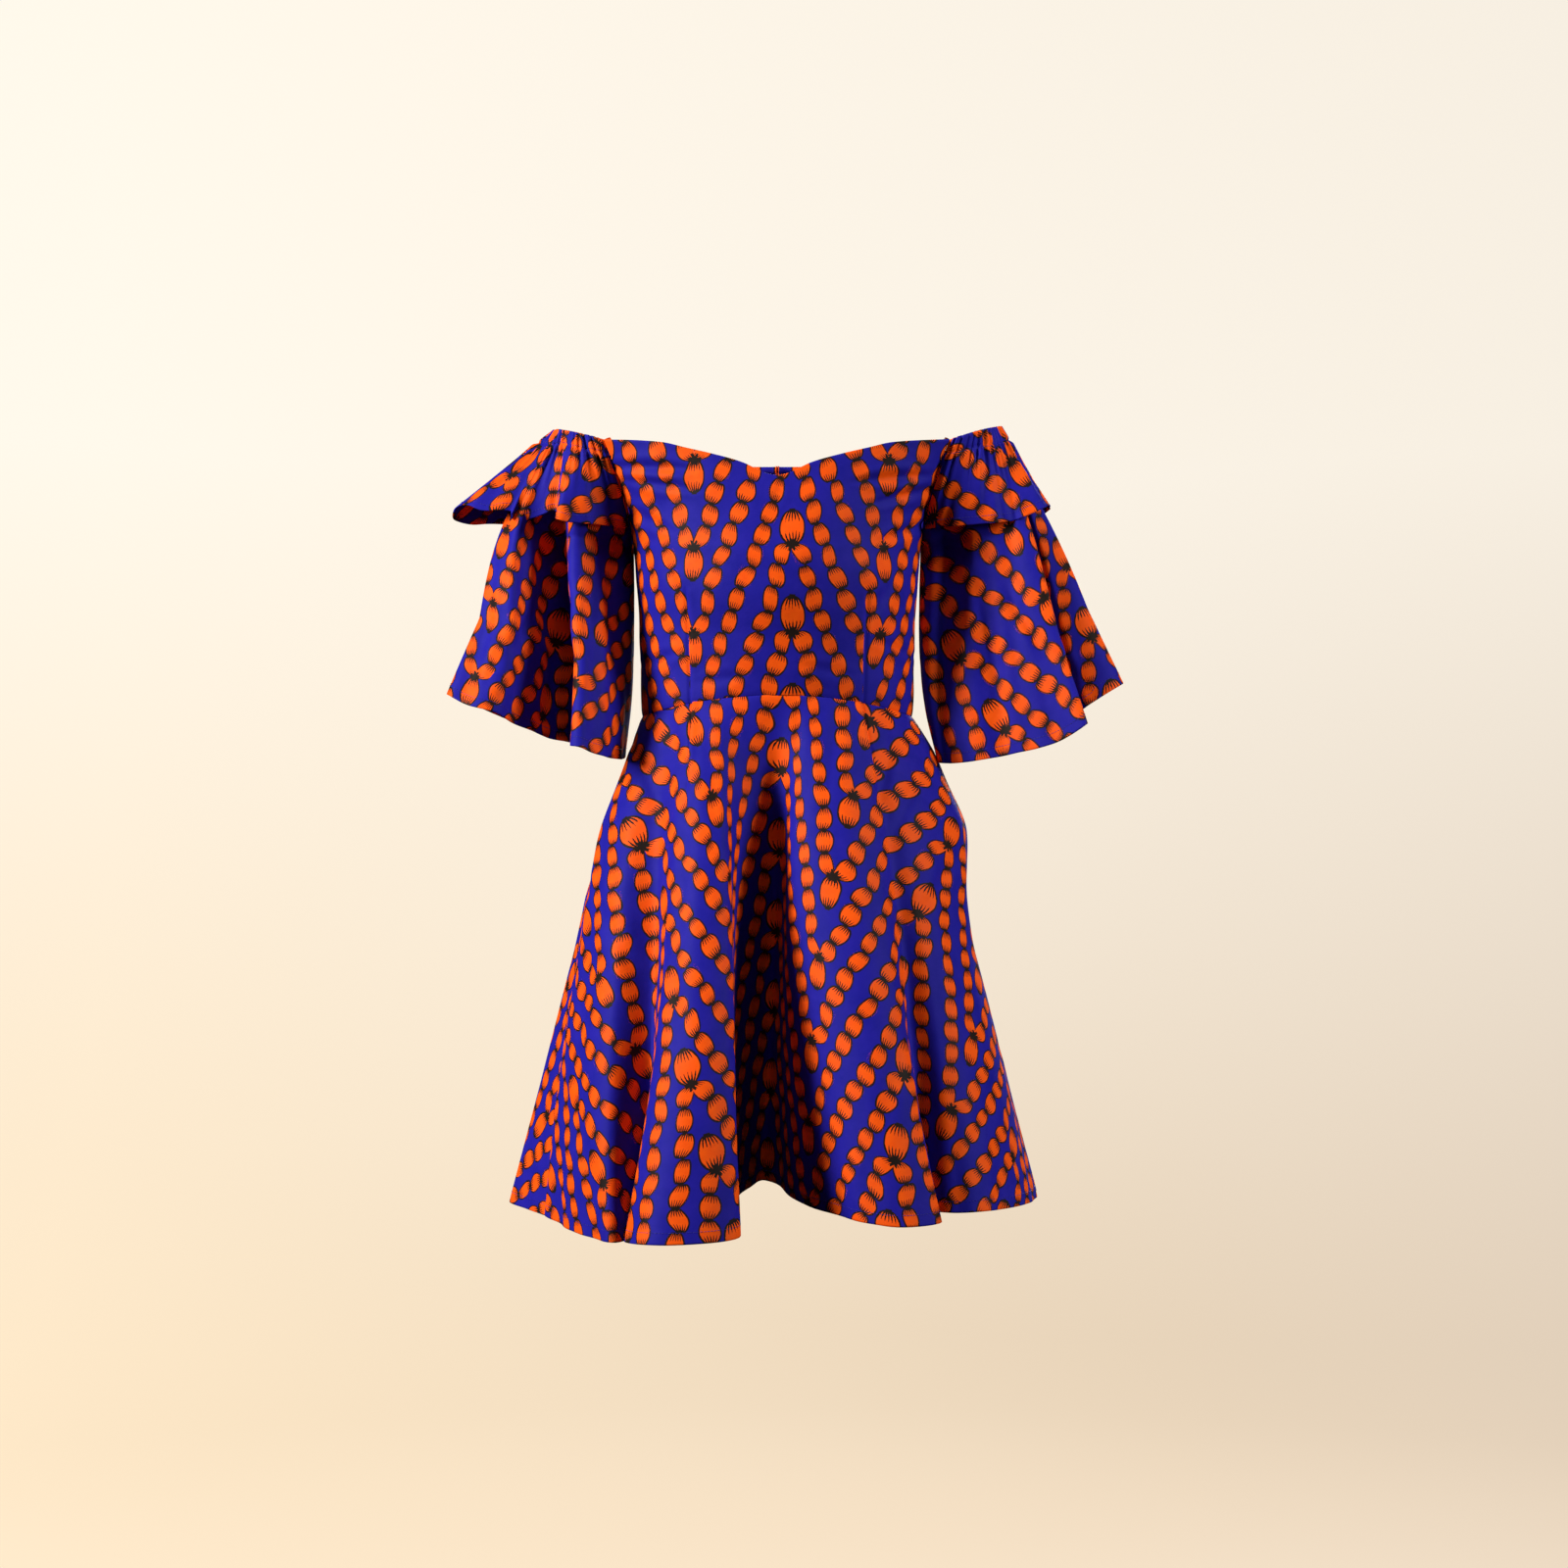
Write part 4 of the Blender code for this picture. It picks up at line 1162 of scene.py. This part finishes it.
def weave_bump(tree, shader, place, thread_mm, strength, crumple):
    """A plain weave's threads, with slubs, over a soft crumple."""
    x, y = place
    warp = (x * (2 * math.pi / thread_mm)).made("SINE")
    weft = (y * (2 * math.pi / thread_mm)).made("SINE")
    vector = joined(tree, x, y)
    slub = noise(tree, joined(tree, x * 0.25, y * 2.5), 0.6, 2.0)
    height = (warp * weft) * 0.012 + slub * 0.05 + noise(tree, vector, 0.09, 4.0, 0.6) * crumple
    bump = tree.nodes.new("ShaderNodeBump")
    bump.inputs["Strength"].default_value = strength
    bump.inputs["Distance"].default_value = 0.001
    plug(tree, bump.inputs["Height"], height)
    tree.links.new(bump.outputs[0], shader.inputs["Normal"])
    return slub


@once
def wax_print_material():
    material, tree, shader = new_material("wax_print")
    _, (u, v, seed) = named_vector(tree, "cloth_m")
    _, (past_dart, taken, _) = named_vector(tree, "dart_m")
    beyond = past_dart.made("GREATER_THAN", 0.0)
    x = (u + taken * beyond) * 1000.0
    y = v * 1000.0
    hand = joined(tree, x, y, seed)
    x_drawn = x + (noise(tree, hand, 0.035, 1.0) - 0.5) * DRAWN_UNEVENLY
    y_drawn = y + (noise(tree, joined(tree, y, x, seed + 4.0), 0.035, 1.0) - 0.5) * DRAWN_UNEVENLY
    orange, dark = print_parts(tree, x_drawn, y_drawn, seed)
    mottle = noise(tree, hand, 0.05, 4.0, 0.6)
    ground = blended(tree, (mottle * 1.6 - 0.3).made("MULTIPLY", 1.0, clamp=True), BLUE, BLUE_WORN)
    warm = blended(tree, noise(tree, hand, 0.11, 3.0), ORANGE, ORANGE_DEEP)
    inked = blended(tree, dark, ground, INK)
    colour = blended(tree, orange, inked, warm)
    speck = noise(tree, hand, 1.9, 2.0, 0.7)
    colour = blended(tree, ((speck - 0.70) * 3.0).made("MULTIPLY", 0.6, clamp=True), colour, BLUE_WORN)
    tree.links.new(colour, shader.inputs["Base Color"])
    slub = weave_bump(tree, shader, (x, y), 0.42, 0.35, 0.9)
    plug(tree, shader.inputs["Roughness"], 0.62 + slub * 0.10 - dark * 0.05)
    shader.inputs["Specular IOR Level"].default_value = 0.12
    shader.inputs["Sheen Weight"].default_value = 0.02
    shader.inputs["Sheen Roughness"].default_value = 0.45
    return material


@once
def pocketing_material():
    material, tree, shader = new_material("pocketing")
    _, (u, v, seed) = named_vector(tree, "cloth_m")
    x, y = u * 1000.0, v * 1000.0
    vector = joined(tree, x, y, seed)
    tone = blended(tree, noise(tree, vector, 0.08, 3.0), POCKETING, tuple(c * 0.7 for c in POCKETING))
    tree.links.new(tone, shader.inputs["Base Color"])
    slub = weave_bump(tree, shader, (x, y), 0.50, 0.30, 0.8)
    plug(tree, shader.inputs["Roughness"], 0.68 + slub * 0.10)
    return material


@once
def thread_material():
    material, tree, shader = new_material("thread")
    place = tree.nodes.new("ShaderNodeTexCoord").outputs["Object"]
    tone = noise(tree, place, 900.0, 2.0)
    tree.links.new(blended(tree, tone, THREAD_BLUE, BLUE), shader.inputs["Base Color"])
    plug(tree, shader.inputs["Roughness"], 0.42 + tone * 0.20)
    return material


@once
def zip_tape_material():
    material, tree, shader = new_material("zip_tape")
    place = tree.nodes.new("ShaderNodeTexCoord").outputs["Object"]
    split = tree.nodes.new("ShaderNodeSeparateXYZ")
    tree.links.new(place, split.inputs[0])
    x = Value(tree, split.outputs[0]) * 1000.0
    z = Value(tree, split.outputs[2]) * 1000.0
    rib = noise(tree, place, 700.0, 2.0)
    tree.links.new(blended(tree, rib, ZIP_BLUE, THREAD_BLUE), shader.inputs["Base Color"])
    weave_bump(tree, shader, (x, z), 0.9, 0.5, 0.3)
    plug(tree, shader.inputs["Roughness"], 0.60 + rib * 0.15)
    return material


@once
def zip_metal_material():
    material, tree, shader = new_material("zip_slider")
    place = tree.nodes.new("ShaderNodeTexCoord").outputs["Object"]
    wear = noise(tree, place, 260.0, 4.0)
    tree.links.new(blended(tree, wear, ZIP_BLUE, THREAD_BLUE), shader.inputs["Base Color"])
    plug(tree, shader.inputs["Roughness"], 0.28 + wear * 0.20)
    return material


# ---------------------------------------------------------------- the concealed back zip
def zip_line(count):
    """The centre back from the neck to below the waist, just inside the cloth."""
    down = np.linspace(ZIP_TOP, 1.0, count)
    on_bodice = bodice_point(mix(WAIST_SIDE_Z, SHOULDER_Z, -0.99 * np.minimum(down, 0.0)), 0.0, True)
    on_skirt = skirt_point(np.full(count, SKIRT_HALF), ZIP_BELOW_WAIST * np.maximum(down, 0.0))
    line = np.where(down[:, None] <= 0, on_bodice, on_skirt)
    line[:, 0] = 0.0
    line[:, 1] -= ZIP_LAYER
    return line


def extruded_rows(name, line, half_widths, material):
    """A thin strip down a line, flat in x, with the given places across."""
    points = line[None, :, :] + np.array([(x, y, 0.0) for x, y in half_widths])[:, None, :]
    flat = vectors(np.array([x for x, _ in half_widths])[:, None], line[None, :, 2], 0.0)
    piece = shell(name, points, flat, None, -1)
    piece.data.materials.append(material)
    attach(piece, "root")
    return piece


def lump(points, faces, middle, sizes, lean=0.0, bevel=0.28):
    """Adds a small block with bevelled ends, tipped about y, to a growing mesh."""
    base = len(points)
    half = [size / 2 for size in sizes]
    for z_part, inset in ((-1, bevel), (-1 + bevel, 0), (1 - bevel, 0), (1, bevel)):
        for x_part, y_part in ((-1, -1), (1, -1), (1, 1), (-1, 1)):
            x = x_part * half[0] * (1 - inset)
            y = y_part * half[1] * (1 - inset)
            z = z_part * half[2]
            turned_x = x * math.cos(lean) + z * math.sin(lean)
            turned_z = -x * math.sin(lean) + z * math.cos(lean)
            points.append((middle[0] + turned_x, middle[1] + y, middle[2] + turned_z))
    for ring in range(3):
        for corner in range(4):
            a, b = base + 4 * ring + corner, base + 4 * ring + (corner + 1) % 4
            faces.append((a, b, b + 4, a + 4))
    faces.append((base + 3, base + 2, base + 1, base))
    faces.append((base + 12, base + 13, base + 14, base + 15))


def lumps_piece(name, blocks, material):
    points, faces = [], []
    for middle, sizes, lean in blocks:
        lump(points, faces, middle, sizes, lean)
    piece = placed(name, points, faces, material)
    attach(piece, "root")
    return piece


def make_zip():
    line = zip_line(150)
    tape = extruded_rows(
        "zip_tape", line, [(x / 1000, 0.0) for x in (-10, -7, -4, -2, 0, 2, 4, 7, 10)], zip_tape_material()
    )
    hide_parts("back_zip")
    lengths = np.concatenate([[0.0], np.cumsum(np.linalg.norm(np.diff(line, axis=0), axis=-1))])
    teeth = []
    for number, at in enumerate(np.arange(0.004, lengths[-1] - 0.004, 0.0011)):
        middle = [float(np.interp(at, lengths, line[:, axis])) for axis in range(3)]
        swing = 0.0006 if number % 2 else -0.0006
        teeth.append(((middle[0] + swing, middle[1] - 0.0010, middle[2]), (0.0034, 0.0011, 0.0008), 0.25))
    coil = lumps_piece("zip_coil", teeth, zip_tape_material())
    top = [float(np.interp(0.005, lengths, line[:, axis])) for axis in range(3)]
    y = top[1]
    slider = lumps_piece(
        "zip_slider",
        [
            ((0.0, y - 0.0022, top[2] - 0.002), (0.0060, 0.0010, 0.0095), 0.0),
            ((0.0, y - 0.0003, top[2] - 0.002), (0.0022, 0.0030, 0.0060), 0.0),
            ((0.0, y + 0.0052, top[2] - 0.0065), (0.0034, 0.0010, 0.0200), 0.0),
            ((0.0, y + 0.0046, top[2] + 0.0030), (0.0022, 0.0026, 0.0024), 0.0),
        ],
        zip_metal_material(),
    )
    bevel = slider.modifiers.new("Edges", "BEVEL")
    bevel.width = 0.0003
    bevel.segments = 2


# ---------------------------------------------------------------- the studio
# Painted light on the paper cove: the glow's colour towards each corner of the view, and its strength.
PAPER_PAINTED_LIGHT_HIGH_LEFT = (0.99, 0.925, 0.815)
PAPER_PAINTED_LIGHT_HIGH_RIGHT = (0.90, 0.835, 0.735)
PAPER_PAINTED_LIGHT_LOW_LEFT = (0.95, 0.76, 0.52)
PAPER_PAINTED_LIGHT_LOW_RIGHT = (0.68, 0.55, 0.42)
PAPER_PAINTED_GLOW = 1.0
FLOOR_Z = -1.62
WALL_RADIUS = 4.6
SWEEP = 1.3
SWEEP_STEPS = 24
WALL_TOP = 4.0
COVE_SIDES = 96


def painted_light_paper_material():
    """Pale paper glowing with painted light: warm at the foot and lighter above, a little duller to the
    right.
    """
    material, tree, shader = new_material("paper")
    place = tree.nodes.new("ShaderNodeTexCoord").outputs["Object"]
    split = tree.nodes.new("ShaderNodeSeparateXYZ")
    tree.links.new(place, split.inputs[0])
    cloud = noise(tree, place, 0.35, 1.0)
    up = Value(tree, split.outputs[2]) + cloud * 0.9
    part = (up * 0.42 + 0.62).made("MULTIPLY", 1.0, clamp=True)
    across = (Value(tree, split.outputs[0]) * 0.28 + 0.45).made("MULTIPLY", 1.0, clamp=True)
    # Painted light and shade: the glow is warmer and darker at the foot, lighter above, and duller to the
    # right.
    foot = blended(tree, across, PAPER_PAINTED_LIGHT_LOW_LEFT, PAPER_PAINTED_LIGHT_LOW_RIGHT)
    head = blended(tree, across, PAPER_PAINTED_LIGHT_HIGH_LEFT, PAPER_PAINTED_LIGHT_HIGH_RIGHT)
    tone = blended(tree, part, foot, head)
    tree.links.new(blended(tree, cloud, (0.08, 0.07, 0.06), (0.10, 0.09, 0.08)), shader.inputs["Base Color"])
    # The paper's look is this painted glow; its dark base colour takes only a little real light from the
    # lamps.
    tree.links.new(tone, shader.inputs["Emission Color"])
    shader.inputs["Emission Strength"].default_value = PAPER_PAINTED_GLOW
    shader.inputs["Roughness"].default_value = 0.95
    shader.inputs["Specular IOR Level"].default_value = 0.0
    return material


def make_backdrop():
    """A round paper cove about the dress: floor, a wide curve, and wall, whose glow is painted light and
    which lights nothing itself.
    """
    profile = [(0.0, FLOOR_Z), (WALL_RADIUS - SWEEP, FLOOR_Z)]
    for step in range(1, SWEEP_STEPS):
        turned = math.pi / 2 * step / SWEEP_STEPS
        out = WALL_RADIUS - SWEEP + SWEEP * math.sin(turned)
        profile.append((out, FLOOR_Z + SWEEP * (1 - math.cos(turned))))
    profile += [(WALL_RADIUS, FLOOR_Z + SWEEP), (WALL_RADIUS, WALL_TOP)]
    points = []
    for side in range(COVE_SIDES):
        turned = 2 * math.pi * side / COVE_SIDES
        points += [(out * math.sin(turned), out * math.cos(turned), z) for out, z in profile]
    count = len(profile)
    faces = []
    for side in range(COVE_SIDES):
        a, b = side * count, (side + 1) % COVE_SIDES * count
        faces += [(a + i, b + i, b + i + 1, a + i + 1) for i in range(count - 1)]
    paper = placed("paper_cove", points, faces, painted_light_paper_material())
    paper.data.shade_smooth()
    paper.visible_diffuse = False
    paper.visible_glossy = False
    paper.visible_shadow = False


def area_light(name, place, target, size, power, colour):
    data = bpy.data.lights.new(name, "AREA")
    data.shape = "RECTANGLE"
    data.size, data.size_y = size
    data.energy = power
    data.color = colour
    lamp = bpy.data.objects.new(name, data)
    lamp.location = place
    away = np.array(target, float) - np.array(place, float)
    flat_run = math.hypot(away[0], away[1])
    lamp.rotation_euler = (math.atan2(flat_run, -away[2]), 0.0, math.atan2(away[1], away[0]) - math.pi / 2)
    bpy.context.scene.collection.objects.link(lamp)


Lamp = namedtuple("Lamp", "name place size power colour")
LAMPS = [
    Lamp("key", (-2.7, -1.35, 0.8), (0.7, 1.3), 146, (1.0, 0.975, 0.94)),
    Lamp("fill", (2.6, -1.3, 0.7), (0.6, 1.2), 66, (1.0, 0.98, 0.95)),
    Lamp("top", (0.0, -1.2, 2.2), (0.9, 0.6), 9, (1.0, 0.98, 0.95)),
    Lamp("back", (0.6, 2.6, 0.8), (1.6, 1.6), 90, (1.0, 0.97, 0.92)),
]
LIT_POINT = (0.0, 0.0, -0.4)
WORLD_COLOUR = (1.0, 0.96, 0.90, 1.0)
WORLD_STRENGTH = 0.006


def make_lights():
    for lamp in LAMPS:
        area_light(lamp.name, lamp.place, LIT_POINT, lamp.size, lamp.power, lamp.colour)
    world = bpy.data.worlds.new("studio")
    bpy.context.scene.world = world
    world.use_nodes = True
    background = world.node_tree.nodes["Background"]
    background.inputs["Color"].default_value = WORLD_COLOUR
    background.inputs["Strength"].default_value = WORLD_STRENGTH


CAMERA_AT = (0.0067, -3.0, -0.336)
SENSOR = 36.0
VIEW_ACROSS = 1.536  # metres across the picture at the dress


def make_camera():
    data = bpy.data.cameras.new("camera")
    data.sensor_width = SENSOR
    data.lens = SENSOR * -CAMERA_AT[1] / VIEW_ACROSS
    data.clip_end = 50.0
    camera = bpy.data.objects.new("camera", data)
    camera.location = CAMERA_AT
    camera.rotation_euler = (math.pi / 2, 0.0, 0.0)
    bpy.context.scene.collection.objects.link(camera)
    bpy.context.scene.camera = camera
    bpy.context.scene.view_settings.view_transform = "Standard"


def make_dress():
    make_bodice_front()
    for side in (1, -1):
        make_bodice_back(side)
    front = make_skirt("skirt_front", -SIDE_SEAM, SIDE_SEAM, 0.0, SKIRT_FRONT_GRID)
    hem_thread("skirt_front", HEM_STITCH_UP)
    left = make_skirt("skirt_back_left", SIDE_SEAM, SKIRT_HALF, SKIRT_HALF, SKIRT_BACK_GRID)
    hem_thread("skirt_back_left", HEM_STITCH_UP)
    right = make_skirt("skirt_back_right", -SKIRT_HALF, -SIDE_SEAM, -SKIRT_HALF, SKIRT_BACK_GRID)
    hem_thread("skirt_back_right", HEM_STITCH_UP)
    for side, hand in ((1, "left"), (-1, "right")):
        sleeve = make_sleeve(side)
        hem_thread("sleeve_" + hand, HEM_STITCH_UP)
        flounce = make_flounce(side)
        threads = [hem_thread("flounce_" + hand, HEM_STITCH_UP * 0.7), casing_thread("flounce_" + hand)]
        pocket = pocket_piece(side)
    make_zip()


make_camera()
make_lights()
make_backdrop()
make_dress()
